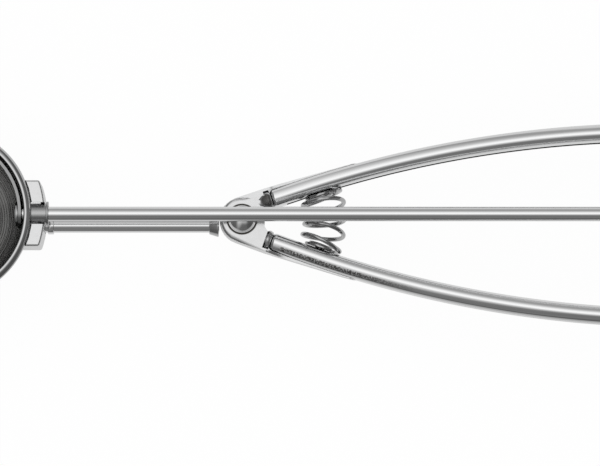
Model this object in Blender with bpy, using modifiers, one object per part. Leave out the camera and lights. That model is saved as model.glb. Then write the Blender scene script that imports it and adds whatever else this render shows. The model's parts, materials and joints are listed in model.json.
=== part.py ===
"""A squeeze-handle ice cream scoop in stainless steel.

Squeezing the upper handle towards the lower one swings it about the pivot rivet. A curved rack on its
far end turns the pinion on the long shaft, and the shaft turns the wiper blade inside the bowl.
The model is laid out from the pivot: +X runs along the shaft to the handles' far ends, +Y is the side
of the moving handle and +Z is the open side of the bowl. At the end it is shifted as a whole, so
that the origin lies under the middle of the scoop.
"""

import math

import bmesh
import bpy
from mathutils import Matrix, Vector

# Clearances
SEAT_GAP = 0.0003  # between pieces that are brazed, riveted or pressed together
WELD_GAP = 0.00015  # between long flat faces that are spot welded
RUN_GAP = 0.00015  # all round a shaft that turns in its bush
CUT_OVER = 0.0020  # how far a cutter passes through what it cuts

# Bowl
BOWL_INNER_RADIUS = 0.0226
BOWL_WALL = 0.0008
RIM_BEAD_RADIUS = 0.0011
RIM_RISE = 0.0046  # from the shaft's axis up to the top of the rim
BOWL_DISTANCE = 0.0850  # from the pivot to the middle of the bowl

# Long shaft and the fixed stem behind it
SHAFT_DIAMETER = 0.0042
SHAFT_SIDE = 0.0011  # the shaft runs this far towards the moving handle from the pivot
STEM_DIAMETER = 0.0042
STEM_SIDE = -0.0014
STEM_COLLAR_DIAMETER = 0.0052
STEM_COLLAR_LENGTH = 0.0017
STEM_FOOT_DIAMETER = 0.0066
STEM_FOOT_LENGTH = 0.0027

# Bracket that carries the bowl
BRACKET_SHEET = 0.0012
BRACKET_REACH = 0.0038  # from the outside of the rim bead to the bracket's outer face
BRACKET_HALF_WIDTH = 0.0095
BRACKET_RISE = 0.0032  # from the shaft's axis up to its flat top
BRACKET_DROP = 0.0028  # from the stem's axis down to its lower edge
BRACKET_EDGE = 0.0006
BUSH_WALL = 0.0006
BUSH_FLANGE = 0.0007
FLANGE_THICKNESS = 0.0006

# Wiper
BLADE_GAP = 0.0004
BLADE_THICKNESS = 0.0008
BLADE_WIDTH = 0.0084
HUB_DIAMETER = 0.0072
HUB_LENGTH = 0.0009
SHAFT_RIVETED_END = 0.0003  # of the shaft beyond the hub, spread over it
TIP_PIN_DIAMETER = 0.0028
TIP_HEAD_DIAMETER = 0.0062
TIP_HEAD_THICKNESS = 0.0010
TIP_PIN_STAND_OUT = 0.0012

# Handles, rolled from sheet with a slot along their inner side
HANDLE_THICKNESS = 0.0052
HANDLE_DEPTH = 0.0096
HANDLE_SHEET = 0.0008
HANDLE_SLOT = 0.0034
HANDLE_DOME = 0.0017  # length of the rounded start
HANDLE_START = 0.0093  # from the pivot, along the handle
HANDLE_OFFSET = 0.0030  # of the straight root's centre line from the pivot
STRAIGHT_END = 0.01865  # from the pivot to the start of the long curve
CURVE_RADIUS = 0.330
CURVE_ANGLE = math.radians(20.0)
ROOT_ANGLE = math.radians(19.0)  # of each handle's root from the middle line between them
LEAN = math.radians(-0.64)  # of that middle line from the shaft
SQUEEZE_ANGLE = math.radians(6.5)

# Clevises, pressed from sheet
CLEVIS_SHEET = 0.00075
CLEVIS_BEND = 0.00125
CHEEK_FILLET = 0.0030  # where the boss runs out into the neck, on the inner side
CHEEK_STEP = 0.0005  # from the handle's inner side to the neck's edge beside it
SOCKET_LENGTH = 0.00145  # of the rolled mouth that each handle sits in
SOCKET_RIM = 0.0003  # the mouth is thicker than the handle by this on each side
SOCKET_GAP = 0.00012
LOWER_SOCKET_SLOPE = 0.0010  # length of the slope from the lower cheek to its mouth
UPPER_SOCKET_SLOPE = 0.0031  # the upper cheek lies lower, so its slope is longer
TONGUE_END = 0.0365
TONGUE_HALF_WIDTH = 0.0021
TONGUE_TIP = 0.00035
UPPER_BOSS_CLEARANCE = 0.00035

# Pivot
RIVET_DIAMETER = 0.0050
RIVET_HEAD_DIAMETER = 0.0080
RIVET_HEAD_HEIGHT = 0.0011
RIVET_DOME_DIAMETER = 0.0065
RIVET_DOME_RADIUS = 0.0075
RIVET_EDGE = 0.00025
SLEEVE_WALL = 0.0012

# Return spring
WIRE_DIAMETER = 0.0013
SPRING_DIAMETER = 0.0130
SPRING_STATION = 0.0238  # from the pivot, along each handle
SPRING_TURNS = 4.25
SPRING_CLOSED_TURN = 0.25  # at each end
SPRING_POINTS_A_TURN = 9
SHAFT_OVER_SPRING = 0.00045
CUP_DIAMETER = 0.0092
CUP_THICKNESS = 0.0006
CUP_PILOT_DIAMETER = 0.0072
CUP_PILOT_HEIGHT = 0.0007
CUP_SPIGOT = 0.0018

# Rack and pinion at the far end
MODULE = 0.0010
PINION_TEETH = 10
PRESSURE_ANGLE = math.radians(20.0)
PINION_ADDENDUM = 0.0008
RACK_ADDENDUM = 0.00055
TIP_CLEARANCE = 0.00025
BACKLASH = 0.00020
PINION_FACE = 0.0050
PINION_HUB_DIAMETER = 0.0080
PINION_HUB_LENGTH = 0.0024
PINION_PIN_DIAMETER = 0.0012
PIN_GAP = 0.0002
PINION_PLAY = 0.0003  # between its hub and the bush's flange
RACK_THICKNESS = 0.0015
RACK_BOTTOM = -0.0037
RACK_FOOT = 0.0034
SPARE_TEETH = 1.5  # beyond what the squeeze uses, at each end

# Bearing bracket on the lower handle's far end
BEARING_SHEET = 0.0015
BEARING_BOSS_RADIUS = 0.0052
TAB_LENGTH = 0.0125  # of the straight tabs riveted inside the ends of the curved handles
TAB_HALF_WIDTH = 0.0027
TAB_THICKNESS = 0.0014
GUIDE_SIDE = -0.0195
GUIDE_WIDTH = 0.0046
GUIDE_MARGIN = 0.0012  # of the bracket's arm on each side of the strap
GUIDE_SHEET = 0.0009
GUIDE_CLEARANCE = 0.00035
END_RIVET_DIAMETER = 0.0024
END_RIVET_HEAD_DIAMETER = 0.0044
END_RIVET_HEAD_HEIGHT = 0.0010
END_RIVET_TAIL_DIAMETER = 0.0036
END_RIVET_TAIL_HEIGHT = 0.0007
END_RIVET_STATIONS = (TAB_LENGTH * 0.28, TAB_LENGTH * 0.74)  # back from the handle's end
SHAFT_STAND_OUT = 0.0012

# Derived sizes
SHAFT_RADIUS = SHAFT_DIAMETER / 2
SHAFT_HEIGHT = SPRING_DIAMETER / 2 + SHAFT_OVER_SPRING + SHAFT_RADIUS
BOWL_OUTER_RADIUS = BOWL_INNER_RADIUS + BOWL_WALL
BEAD_CENTRE = BOWL_INNER_RADIUS + RIM_BEAD_RADIUS
RIM_RADIUS = BEAD_CENTRE + RIM_BEAD_RADIUS
BRACKET_RADIUS = RIM_RADIUS + BRACKET_REACH
BRACKET_BACK = BOWL_INNER_RADIUS * 0.75
BUSH_BORE = SHAFT_DIAMETER + 2 * RUN_GAP
BUSH_DIAMETER = BUSH_BORE + 2 * BUSH_WALL
WEB_INSIDE = HANDLE_OFFSET + HANDLE_THICKNESS / 2 + WELD_GAP
BOSS_RADIUS = WEB_INSIDE + CLEVIS_SHEET
NECK_END = HANDLE_START + SEAT_GAP - SOCKET_LENGTH
LOWER_HALF_DEPTH = HANDLE_DEPTH / 2
LOWER_POCKET = LOWER_HALF_DEPTH - CLEVIS_SHEET
UPPER_HALF_DEPTH = LOWER_POCKET - SEAT_GAP
UPPER_POCKET = UPPER_HALF_DEPTH - CLEVIS_SHEET
PITCH_RADIUS = MODULE * PINION_TEETH / 2
PITCH_HEIGHT = SHAFT_HEIGHT - PITCH_RADIUS
TOOTH_PITCH = math.pi * MODULE
RACK_TOP = PITCH_HEIGHT + RACK_ADDENDUM
TAB_SAG = TAB_LENGTH**2 / (2 * CURVE_RADIUS)
TAB_TOP = HANDLE_THICKNESS / 2 - HANDLE_SHEET - SEAT_GAP - TAB_SAG

ALONG_X = (0, math.pi / 2, 0)  # turns a piece made about Z to lie about X
FACING_X = (math.pi / 2, 0, math.pi / 2)  # turns a flat outline's (x, y) to (Y, Z)


# Scene and small helpers


def clear_scene():
    for obj in list(bpy.context.scene.objects):
        bpy.data.objects.remove(obj, do_unlink=True)


def make_collection(name):
    made = bpy.data.collections.new(name)
    bpy.context.scene.collection.children.link(made)
    return made


clear_scene()
PARTS = make_collection("ice_cream_scoop")
CUTTERS = make_collection("scoop_cutters")


def make_empty(name, parent=None, location=(0, 0, 0), turn=0.0):
    empty = bpy.data.objects.new(name, None)
    empty.empty_display_size = 0.01
    empty.parent = parent
    empty.location = location
    empty.rotation_euler = (0, 0, turn)
    PARTS.objects.link(empty)
    return empty


def steel(name, shade, roughness):
    material = bpy.data.materials.new(name)
    material.use_nodes = True
    surface = material.node_tree.nodes["Principled BSDF"]
    surface.inputs["Base Color"].default_value = (shade, shade, shade * 0.99, 1)
    surface.inputs["Roughness"].default_value = roughness
    surface.inputs["Metallic"].default_value = 1.0
    material.diffuse_color = (shade, shade, shade, 1)
    return material


def add_object(name, mesh, collection=CUTTERS):
    obj = bpy.data.objects.new(name, mesh)
    collection.objects.link(obj)
    if collection is CUTTERS:
        obj.hide_render = True
        obj.display_type = "WIRE"
    return obj


def place(obj, parent, location=(0, 0, 0), rotation=(0, 0, 0)):
    obj.parent = parent
    obj.location = location
    obj.rotation_euler = rotation
    return obj


def finish_part(obj, shade=0.62, roughness=0.16):
    """Moves a shape among the parts and gives it its steel."""
    CUTTERS.objects.unlink(obj)
    PARTS.objects.link(obj)
    obj.hide_render = False
    obj.display_type = "TEXTURED"
    obj.data.materials.clear()
    obj.data.materials.append(steel(obj.name + "_steel", shade, roughness))
    obj.data.shade_smooth()
    obj.data.set_sharp_from_angle(angle=math.radians(35))
    return obj


def boolean(target, tool, operation):
    modifier = target.modifiers.new(tool.name, "BOOLEAN")
    modifier.operation = operation
    modifier.object = tool


def cut(target, *tools):
    for tool in tools:
        boolean(target, tool, "DIFFERENCE")


def join(target, *pieces):
    for piece in pieces:
        boolean(target, piece, "UNION")


# Shapes


def arc(centre, radius, start, end, steps):
    """Points on an arc, with start and end in degrees."""
    return [
        (
            centre[0] + radius * math.cos(math.radians(start + (end - start) * i / steps)),
            centre[1] + radius * math.sin(math.radians(start + (end - start) * i / steps)),
        )
        for i in range(steps + 1)
    ]


def curve_to_mesh(name, curve):
    """A closed mesh of a curve, with its caps welded on."""
    guide = bpy.data.objects.new(name + "_curve", curve)
    CUTTERS.objects.link(guide)
    graph = bpy.context.evaluated_depsgraph_get()
    mesh = bpy.data.meshes.new_from_object(guide.evaluated_get(graph))
    mesh.name = name
    shape = bmesh.new()
    shape.from_mesh(mesh)
    bmesh.ops.remove_doubles(shape, verts=shape.verts, dist=1e-7)
    bmesh.ops.recalc_face_normals(shape, faces=shape.faces)
    shape.to_mesh(mesh)
    shape.free()
    bpy.data.objects.remove(guide)
    return mesh


def add_spline(curve, points, cyclic=False, radii=None):
    spline = curve.splines.new("POLY")
    spline.points.add(len(points) - 1)
    for i, point in enumerate(points):
        spline.points[i].co = (*point, 0, 1) if len(point) == 2 else (*point, 1)
        if radii:
            spline.points[i].radius = radii[i]
    spline.use_cyclic_u = cyclic


def plate(name, outline, low, high, holes=()):
    """A flat outline in X and Y, as thick as from low to high along Z."""
    curve = bpy.data.curves.new(name, "CURVE")
    curve.dimensions = "2D"
    curve.fill_mode = "BOTH"
    curve.extrude = (high - low) / 2
    for loop in (outline, *holes):
        add_spline(curve, loop, cyclic=True)
    mesh = curve_to_mesh(name, curve)
    mesh.transform(Matrix.Translation((0, 0, (low + high) / 2)))
    return add_object(name, mesh)


def turned(name, profile, steps=32, closed=False):
    """A profile of (radius, height) points turned about Z. It runs down its outer side."""
    mesh = bpy.data.meshes.new(name)
    edges = [(i, i + 1) for i in range(len(profile) - 1)]
    if closed:
        edges.append((len(profile) - 1, 0))
    mesh.from_pydata([(r, 0, z) for r, z in profile], edges, [])
    obj = add_object(name, mesh)
    screw = obj.modifiers.new("turning", "SCREW")
    screw.steps = screw.render_steps = steps
    screw.use_merge_vertices = True
    screw.merge_threshold = 1e-6
    return obj


def tube_ring(name, inner, outer, low, high, steps=28):
    """A sleeve about Z."""
    profile = [(outer, high), (outer, low), (inner, low), (inner, high)]
    return turned(name, profile, steps, closed=True)


def bar(name, radius, low, high, chamfer=0.0, steps=28):
    """A round bar about Z, with chamfered ends."""
    profile = [(0, high), (radius - chamfer, high), (radius, high - chamfer)]
    profile += [(radius, low + chamfer), (radius - chamfer, low), (0, low)]
    if not chamfer:
        profile = [(0, high), (radius, high), (radius, low), (0, low)]
    return turned(name, profile, steps)


def box(name, low, high):
    mesh = bpy.data.meshes.new(name)
    shape = bmesh.new()
    size = Vector(high) - Vector(low)
    middle = (Vector(high) + Vector(low)) / 2
    bmesh.ops.create_cube(shape, size=1, matrix=Matrix.LocRotScale(middle, None, size))
    shape.to_mesh(mesh)
    shape.free()
    return add_object(name, mesh)


def swept(name, path, section, radii=None):
    """A closed section carried along a path in the XY plane: its x lies in the plane, its y along Z."""
    guide = bpy.data.curves.new(name + "_section", "CURVE")
    guide.dimensions = "2D"
    guide.fill_mode = "NONE"
    add_spline(guide, section, cyclic=True)
    guide_object = bpy.data.objects.new(name + "_section", guide)
    guide_object.hide_render = True
    guide_object.display_type = "WIRE"
    CUTTERS.objects.link(guide_object)
    curve = bpy.data.curves.new(name, "CURVE")
    curve.dimensions = "3D"
    curve.twist_mode = "Z_UP"
    curve.bevel_mode = "OBJECT"
    curve.bevel_object = guide_object
    curve.use_fill_caps = True
    add_spline(curve, path, radii=radii)
    return add_object(name, curve_to_mesh(name, curve))


def stadium(half_thickness, half_depth, steps=8):
    """Two half rounds joined by flats, long along y."""
    straight = half_depth - half_thickness
    return arc((0, straight), half_thickness, 0, 180, steps) + arc(
        (0, -straight), half_thickness, 180, 360, steps
    )


# The course of a handle, in a frame whose x runs out along its root from the pivot


def handle_point(station, offset=0.0, side=1):
    """A point at this station along the handle. Offset is away from the other handle."""
    if station <= STRAIGHT_END:
        return (station, side * (HANDLE_OFFSET + offset))
    angle = (station - STRAIGHT_END) / CURVE_RADIUS
    radius = CURVE_RADIUS + offset
    across = HANDLE_OFFSET - CURVE_RADIUS + radius * math.cos(angle)
    return (STRAIGHT_END + radius * math.sin(angle), side * across)


HANDLE_END = STRAIGHT_END + CURVE_RADIUS * CURVE_ANGLE


def handle_stations(start, end, curve_steps=14):
    """Stations from start to end, close together only on the curve."""
    bend = max(start, STRAIGHT_END)
    stations = [start] if start < STRAIGHT_END else []
    return stations + [bend + (end - bend) * i / curve_steps for i in range(curve_steps + 1)]


def handle_turn(side):
    """The direction of a handle's root, seen from above."""
    return side * ROOT_ANGLE + LEAN


def from_pivot(point, side):
    """A point of the handle's own frame, seen from the pivot along the shaft."""
    turn = handle_turn(side)
    x = point[0] * math.cos(turn) - point[1] * math.sin(turn)
    y = point[0] * math.sin(turn) + point[1] * math.cos(turn)
    return (x, y)


def band(stations, low, high, side):
    """The outline of a strip along the handle, between two offsets."""
    there = [handle_point(station, high, side) for station in stations]
    back = [handle_point(station, low, side) for station in reversed(stations)]
    return there + back


def bearing_face():
    """Where the far bracket's wall begins, just past the lower handle's end."""
    return from_pivot(handle_point(HANDLE_END, -HANDLE_THICKNESS / 2, -1), -1)[0] + SEAT_GAP


# The pinion runs next to the bush in the bracket's wall, and the rack's arc passes under its middle.
END_BUSH_SEAT = bearing_face() + BEARING_SHEET + WELD_GAP
PINION_START = END_BUSH_SEAT + FLANGE_THICKNESS + PINION_PLAY + PINION_HUB_LENGTH
PINION_END = PINION_START + PINION_FACE
RACK_RADIUS = (PINION_START + PINION_END) / 2
WIPER_RATIO = RACK_RADIUS / PITCH_RADIUS
MESH_ANGLE = math.asin(SHAFT_SIDE / RACK_RADIUS)


# Frames: the whole scoop, the handles' roots and ends, and the wiper's axis

ROOT = make_empty("scoop_origin")
SQUEEZE_AXIS = make_empty("squeeze_axis", ROOT)
LOWER_ROOT = make_empty("lower_handle_root", ROOT, turn=handle_turn(-1))
UPPER_ROOT = make_empty("upper_handle_root", SQUEEZE_AXIS, turn=handle_turn(1))
BOWL_MIDDLE = (-BOWL_DISTANCE, SHAFT_SIDE, SHAFT_HEIGHT)
BOWL_AXIS = make_empty("bowl_axis", ROOT, BOWL_MIDDLE)
WIPER_AXIS = make_empty("wiper_axis", ROOT, BOWL_MIDDLE)


def handle_end(side):
    """The place and direction of the end of a handle's centre line, in the handle's own frame."""
    return handle_point(HANDLE_END, 0.0, side), -side * CURVE_ANGLE


LOWER_END_POINT, LOWER_END_TURN = handle_end(-1)
UPPER_END_POINT, UPPER_END_TURN = handle_end(1)
LOWER_END = make_empty("lower_handle_end", LOWER_ROOT, (*LOWER_END_POINT, 0), LOWER_END_TURN)
UPPER_END = make_empty("upper_handle_end", UPPER_ROOT, (*UPPER_END_POINT, 0), UPPER_END_TURN)


# Bowl


def bowl_profile(grow=0.0):
    """The outer side of the bowl and its rolled rim, grown by a clearance."""
    bead_height = RIM_RISE - RIM_BEAD_RADIUS
    radius = BOWL_OUTER_RADIUS + grow
    bead = RIM_BEAD_RADIUS + grow
    foot = math.degrees(math.acos((BOWL_OUTER_RADIUS - BEAD_CENTRE + grow) / bead))
    points = arc((BEAD_CENTRE, bead_height), bead, 75, -foot, 6)
    return points + arc((0, 0), radius, 0, -90, 11)


def make_bowl():
    bead_height = RIM_RISE - RIM_BEAD_RADIUS
    inside = arc((0, 0), BOWL_INNER_RADIUS, -90, 0, 11)
    inside += arc((BEAD_CENTRE, bead_height), RIM_BEAD_RADIUS, 165, 105, 3)
    bowl = place(turned("bowl", inside + bowl_profile(), steps=44), BOWL_AXIS)
    near = BOWL_INNER_RADIUS - CUT_OVER
    far = RIM_RADIUS + CUT_OVER
    bush_hole = bar("bowl_bush_hole", BUSH_DIAMETER / 2 + SEAT_GAP, near, far)
    pin_hole = bar("bowl_pin_hole", TIP_PIN_DIAMETER / 2 + RUN_GAP, -far, -near)
    cut(bowl, place(bush_hole, BOWL_AXIS, rotation=ALONG_X), place(pin_hole, BOWL_AXIS, rotation=ALONG_X))
    return finish_part(bowl, 0.66, 0.08)


def make_bowl_bracket():
    corner = math.degrees(math.asin(BRACKET_HALF_WIDTH / BRACKET_RADIUS))
    inside = BRACKET_RADIUS - BRACKET_SHEET
    inner_half = BRACKET_HALF_WIDTH - BRACKET_SHEET
    inner_corner = math.degrees(math.asin(inner_half / inside))
    bottom = -SHAFT_HEIGHT - BRACKET_DROP
    back = BRACKET_BACK
    near = back + SEAT_GAP
    far = BRACKET_RADIUS + CUT_OVER
    outline = arc((0, 0), BRACKET_RADIUS, -corner, corner, 10)
    outline += [(back, BRACKET_HALF_WIDTH), (back, -BRACKET_HALF_WIDTH)]
    bracket = plate("bowl_bracket", outline, bottom, BRACKET_RISE)
    round_edges(bracket, BRACKET_EDGE, lambda a, b: a.x > back and b.x > back)
    pocket_outline = arc((0, 0), inside, -inner_corner, inner_corner, 10)
    pocket_outline += [(back / 2, inner_half), (back / 2, -inner_half)]
    pocket = plate("bracket_pocket", pocket_outline, bottom - CUT_OVER, BRACKET_RISE - BRACKET_SHEET)
    room_profile = [(0, RIM_RISE + SEAT_GAP)] + bowl_profile(SEAT_GAP)
    room = place(turned("bracket_bowl_room", room_profile, 44), BOWL_AXIS)
    bush_radius = BUSH_DIAMETER / 2 + SEAT_GAP
    slot = box("bracket_slot", (near, -bush_radius, 0), (far, bush_radius, BRACKET_RISE + CUT_OVER))
    bush_hole = bar("bracket_bush_hole", bush_radius, near, far)
    stem_hole = bar("bracket_stem_hole", STEM_DIAMETER / 2 + SEAT_GAP, near, far)
    place(bracket, BOWL_AXIS)
    place(pocket, BOWL_AXIS)
    place(slot, BOWL_AXIS)
    place(bush_hole, BOWL_AXIS, rotation=ALONG_X)
    place(stem_hole, BOWL_AXIS, (0, STEM_SIDE - SHAFT_SIDE, -SHAFT_HEIGHT), ALONG_X)
    cut(bracket, pocket, room, slot, bush_hole, stem_hole)
    return finish_part(bracket, 0.70, 0.14)


def round_edges(obj, radius, chosen, segments=3):
    """Rounds the sharp edges of a mesh whose two ends pass the test."""
    shape = bmesh.new()
    shape.from_mesh(obj.data)
    bmesh.ops.dissolve_limit(shape, angle_limit=0.01, verts=shape.verts, edges=shape.edges)
    edges = [
        edge
        for edge in shape.edges
        if edge.is_manifold
        and edge.calc_face_angle() > math.radians(40)
        and chosen(edge.verts[0].co, edge.verts[1].co)
    ]
    bmesh.ops.bevel(
        shape, geom=edges, offset=radius, segments=segments, profile=0.5, affect="EDGES", material=-1
    )
    shape.to_mesh(obj.data)
    shape.free()


def make_shaft_bush():
    start = BOWL_INNER_RADIUS - BOWL_WALL * 0.25
    seat = BRACKET_RADIUS + SEAT_GAP
    outer = BUSH_DIAMETER / 2
    bore = BUSH_BORE / 2
    flange = outer + BUSH_FLANGE
    profile = [(flange, seat + FLANGE_THICKNESS), (flange, seat), (outer, seat), (outer, start)]
    profile += [(bore, start), (bore, seat + FLANGE_THICKNESS)]
    bush = turned("shaft_bush", profile, 32, closed=True)
    return finish_part(place(bush, BOWL_AXIS, rotation=ALONG_X), 0.45, 0.25)


# Stem


def make_stem():
    """The rod runs from the bowl's wall, through the bracket, to the wrapped end of the lower clevis."""
    down = SHAFT_HEIGHT
    side = SHAFT_SIDE - STEM_SIDE
    reach = math.sqrt(BOWL_OUTER_RADIUS**2 - (down - STEM_DIAMETER / 2) ** 2 - side**2)
    start = -BOWL_DISTANCE + reach + SEAT_GAP
    end = -BOSS_RADIUS - WELD_GAP
    stem = bar("stem", STEM_DIAMETER / 2, start, end, chamfer=0.0003)
    return finish_part(place(stem, ROOT, (0, STEM_SIDE, 0), ALONG_X))


def make_stem_collar():
    start = -BOWL_DISTANCE + BRACKET_RADIUS + SEAT_GAP
    collar = tube_ring(
        "stem_collar",
        STEM_DIAMETER / 2 + WELD_GAP,
        STEM_COLLAR_DIAMETER / 2,
        start,
        start + STEM_COLLAR_LENGTH,
    )
    return finish_part(place(collar, ROOT, (0, STEM_SIDE, 0), ALONG_X), 0.75)


def make_stem_foot():
    """A flared ferrule that spreads the stem's end on the clevis."""
    end = -BOSS_RADIUS - SEAT_GAP
    start = end - STEM_FOOT_LENGTH
    bore = STEM_DIAMETER / 2 + WELD_GAP
    wide = STEM_FOOT_DIAMETER / 2
    narrow = bore + SEAT_GAP
    profile = [(wide, end), (wide, end - SEAT_GAP), (narrow, start), (bore, start), (bore, end)]
    foot = turned("stem_foot", profile, 28, closed=True)
    return finish_part(place(foot, ROOT, (0, STEM_SIDE, 0), ALONG_X), 0.5)


# Clevises


def neck_fillet(boss):
    """The arc from the boss to the neck's inner edge: its start on the boss, in degrees, and its points."""
    edge = HANDLE_OFFSET - HANDLE_THICKNESS / 2 + CHEEK_STEP
    across = edge - CHEEK_FILLET
    along = math.sqrt((boss + CHEEK_FILLET) ** 2 - across**2)
    start = math.degrees(math.atan2(across, along))
    end = math.degrees(math.acos(min(0.0, NECK_END - along) / CHEEK_FILLET))
    points = arc((along, across), CHEEK_FILLET, 180 + start, end, 6)
    if NECK_END > along:
        points.append((NECK_END, edge))
    return start, points


def clevis_block(name, side, boss, boss_start, half_depth):
    """Boss, neck and tongue in one outline, with the bends rounded along the web."""
    fillet_start, fillet = neck_fillet(boss)
    outline = arc((0, 0), boss, boss_start, 360 + fillet_start, 22) + fillet[1:]
    outline.append((NECK_END, WEB_INSIDE))
    half = HANDLE_THICKNESS / 2
    stations = [HANDLE_START + (TONGUE_END - HANDLE_START) * i / 8 for i in range(9)]
    outline += [handle_point(station, half + WELD_GAP) for station in stations[1:]]
    outline += [
        handle_point(station, half + WELD_GAP + max(TONGUE_TIP, CLEVIS_SHEET * taper(station)))
        for station in reversed(stations)
    ]
    if boss < BOSS_RADIUS:
        outline.append((-boss * 0.2, BOSS_RADIUS))
    block = plate(name, [(x, side * y) for x, y in outline], -half_depth, half_depth)

    def along_web(a, b):
        return all(
            abs(abs(point.z) - half_depth) < 1e-6
            and point.x < HANDLE_START + 1e-6
            and (side * point.y > WEB_INSIDE + 1e-5 or (point.x < 0 and boss == BOSS_RADIUS))
            for point in (a, b)
        )

    round_edges(block, CLEVIS_BEND, along_web)
    trims = []
    for direction in (-1, 1):
        shoulder = [(HANDLE_START, half_depth + 0.0001), (HANDLE_START + 0.0016, half_depth - 0.0010)]
        shoulder += [(HANDLE_START + 0.0045, TONGUE_HALF_WIDTH + 0.0005)]
        shoulder += [(HANDLE_START + 0.0075, TONGUE_HALF_WIDTH)]
        end = TONGUE_END - TONGUE_HALF_WIDTH
        tip = arc((end, 0), TONGUE_HALF_WIDTH, 90, 6, 6)
        far = TONGUE_END + 0.003
        edge = [(x, direction * z) for x, z in shoulder + tip]
        out = direction * HANDLE_DEPTH
        edge += [(far, direction * tip[-1][1]), (far, out), (HANDLE_START, out)]
        trim = plate(f"{name}_tongue_trim_{direction + 2}", edge, -0.020, 0.020)
        trims.append(trim)
    return block, trims


def taper(station):
    """The tongue thins towards its end."""
    start = HANDLE_START + 0.004
    return min(1.0, max(0.0, (TONGUE_END - station) / (TONGUE_END - start)))


def make_socket(name, side, slope, root):
    """The mouth round the handle's start: an oval that swells up to the handle's size and shuts again."""
    half = HANDLE_THICKNESS / 2 + SOCKET_RIM
    depth = HANDLE_DEPTH / 2
    top = HANDLE_START - SOCKET_LENGTH * 0.40
    end = HANDLE_START + 2 * SEAT_GAP
    sizes = [(top - slope, 0.77), (top - slope * 0.45, 0.90), (top, 1.0)]
    sizes += [(top + (end - top) * 0.4, 0.985), (top + (end - top) * 0.8, 0.94), (end, 0.89)]
    path = [handle_point(station, 0.0, side) for station, _ in sizes]
    scales = [scale for _, scale in sizes]
    socket = swept(name + "_socket", path, stadium(half, depth), scales)
    inside = swept(
        name + "_socket_inside",
        [(top - slope * 2, path[0][1])] + path[:2],
        stadium(half - CLEVIS_SHEET, depth - CLEVIS_SHEET),
        scales[:1] + scales[:2],
    )
    start = HANDLE_START - SEAT_GAP
    room = handle_solid(name + "_handle_room", side, -SOCKET_GAP, start, STRAIGHT_END + CUT_OVER)
    return [place(piece, root) for piece in (socket, inside, room)]


def make_clevis(name, side, boss, boss_start, wrap_end, half_depth, pocket_half, slope, root):
    block, trims = clevis_block(name, side, boss, boss_start, half_depth)
    far = 0.050
    front = NECK_END + 0.0001
    pocket_outline = [(front, -far), (front, WEB_INSIDE)]
    if wrap_end:
        pocket_outline += arc((0, 0), WEB_INSIDE, 90, wrap_end, 14)
        edge = math.radians(wrap_end)
        pocket_outline.append((far * math.cos(edge), far * math.sin(edge)))
    else:
        pocket_outline.append((-far, WEB_INSIDE))
    pocket_outline.append((-far, -far))
    pocket = plate(
        name + "_pocket", [(x, side * y) for x, y in pocket_outline], -pocket_half, pocket_half
    )
    rivet_hole = bar(name + "_rivet_hole", RIVET_DIAMETER / 2 + SEAT_GAP, -HANDLE_DEPTH, HANDLE_DEPTH)
    for piece in (block, pocket, rivet_hole):
        place(piece, root)
    for trim in trims:
        place(trim, root, rotation=(math.pi / 2, 0, 0))
    socket, inside, room = make_socket(name, side, slope, root)
    cut(block, pocket, rivet_hole, *trims)
    join(block, socket)
    cut(block, inside, room)
    return finish_part(block, 0.72, 0.15)


def make_clevises():
    lower = (LOWER_HALF_DEPTH, LOWER_POCKET, LOWER_SOCKET_SLOPE, LOWER_ROOT)
    upper = (UPPER_HALF_DEPTH, UPPER_POCKET, UPPER_SOCKET_SLOPE, UPPER_ROOT)
    make_clevis("lower_clevis", -1, BOSS_RADIUS, 90, 200, *lower)
    make_clevis("upper_clevis", 1, WEB_INSIDE - UPPER_BOSS_CLEARANCE, 112, None, *upper)


# Pivot


def make_pivot_rivet():
    seat = LOWER_HALF_DEPTH + SEAT_GAP
    top = seat + RIVET_HEAD_HEIGHT
    head = RIVET_HEAD_DIAMETER / 2
    shank = RIVET_DIAMETER / 2
    dome = RIVET_DOME_DIAMETER / 2
    lean = math.degrees(math.asin(dome / RIVET_DOME_RADIUS))
    half = arc((0, top - RIVET_DOME_RADIUS), RIVET_DOME_RADIUS, 90, 90 - lean, 5)
    half[0] = (0, top)
    ring = half[-1][1]
    half += [(head - RIVET_EDGE, ring), (head, ring - RIVET_EDGE), (head, seat), (shank, seat)]
    profile = half + [(radius, -height) for radius, height in reversed(half)]
    return finish_part(place(turned("pivot_rivet", profile), ROOT), 0.55)


def make_pivot_sleeve():
    bore = RIVET_DIAMETER / 2 + RUN_GAP
    half = UPPER_POCKET - SEAT_GAP
    return finish_part(place(tube_ring("pivot_sleeve", bore, bore + SLEEVE_WALL, -half, half), ROOT))


# Handles


def dome_stations(start, steps=5):
    """Stations and scales that close the start of a tube with a round end."""
    angles = [math.radians(20 + (90 - 20) * i / steps) for i in range(steps + 1)]
    return [(start + HANDLE_DOME * (1 - math.cos(angle)), math.sin(angle)) for angle in angles]


def handle_solid(name, side, inset, start, end):
    """A full oval bar along the handle, inset from its outer surface, or grown by a negative inset."""
    half = HANDLE_THICKNESS / 2 - inset
    dome = dome_stations(start)
    stations = dome + [(station, 1.0) for station in handle_stations(dome[-1][0], end)[1:]]
    path = [handle_point(station, 0.0, side) for station, _ in stations]
    radii = [scale for _, scale in stations]
    return swept(name, path, stadium(half, HANDLE_DEPTH / 2 - inset), radii)


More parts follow.
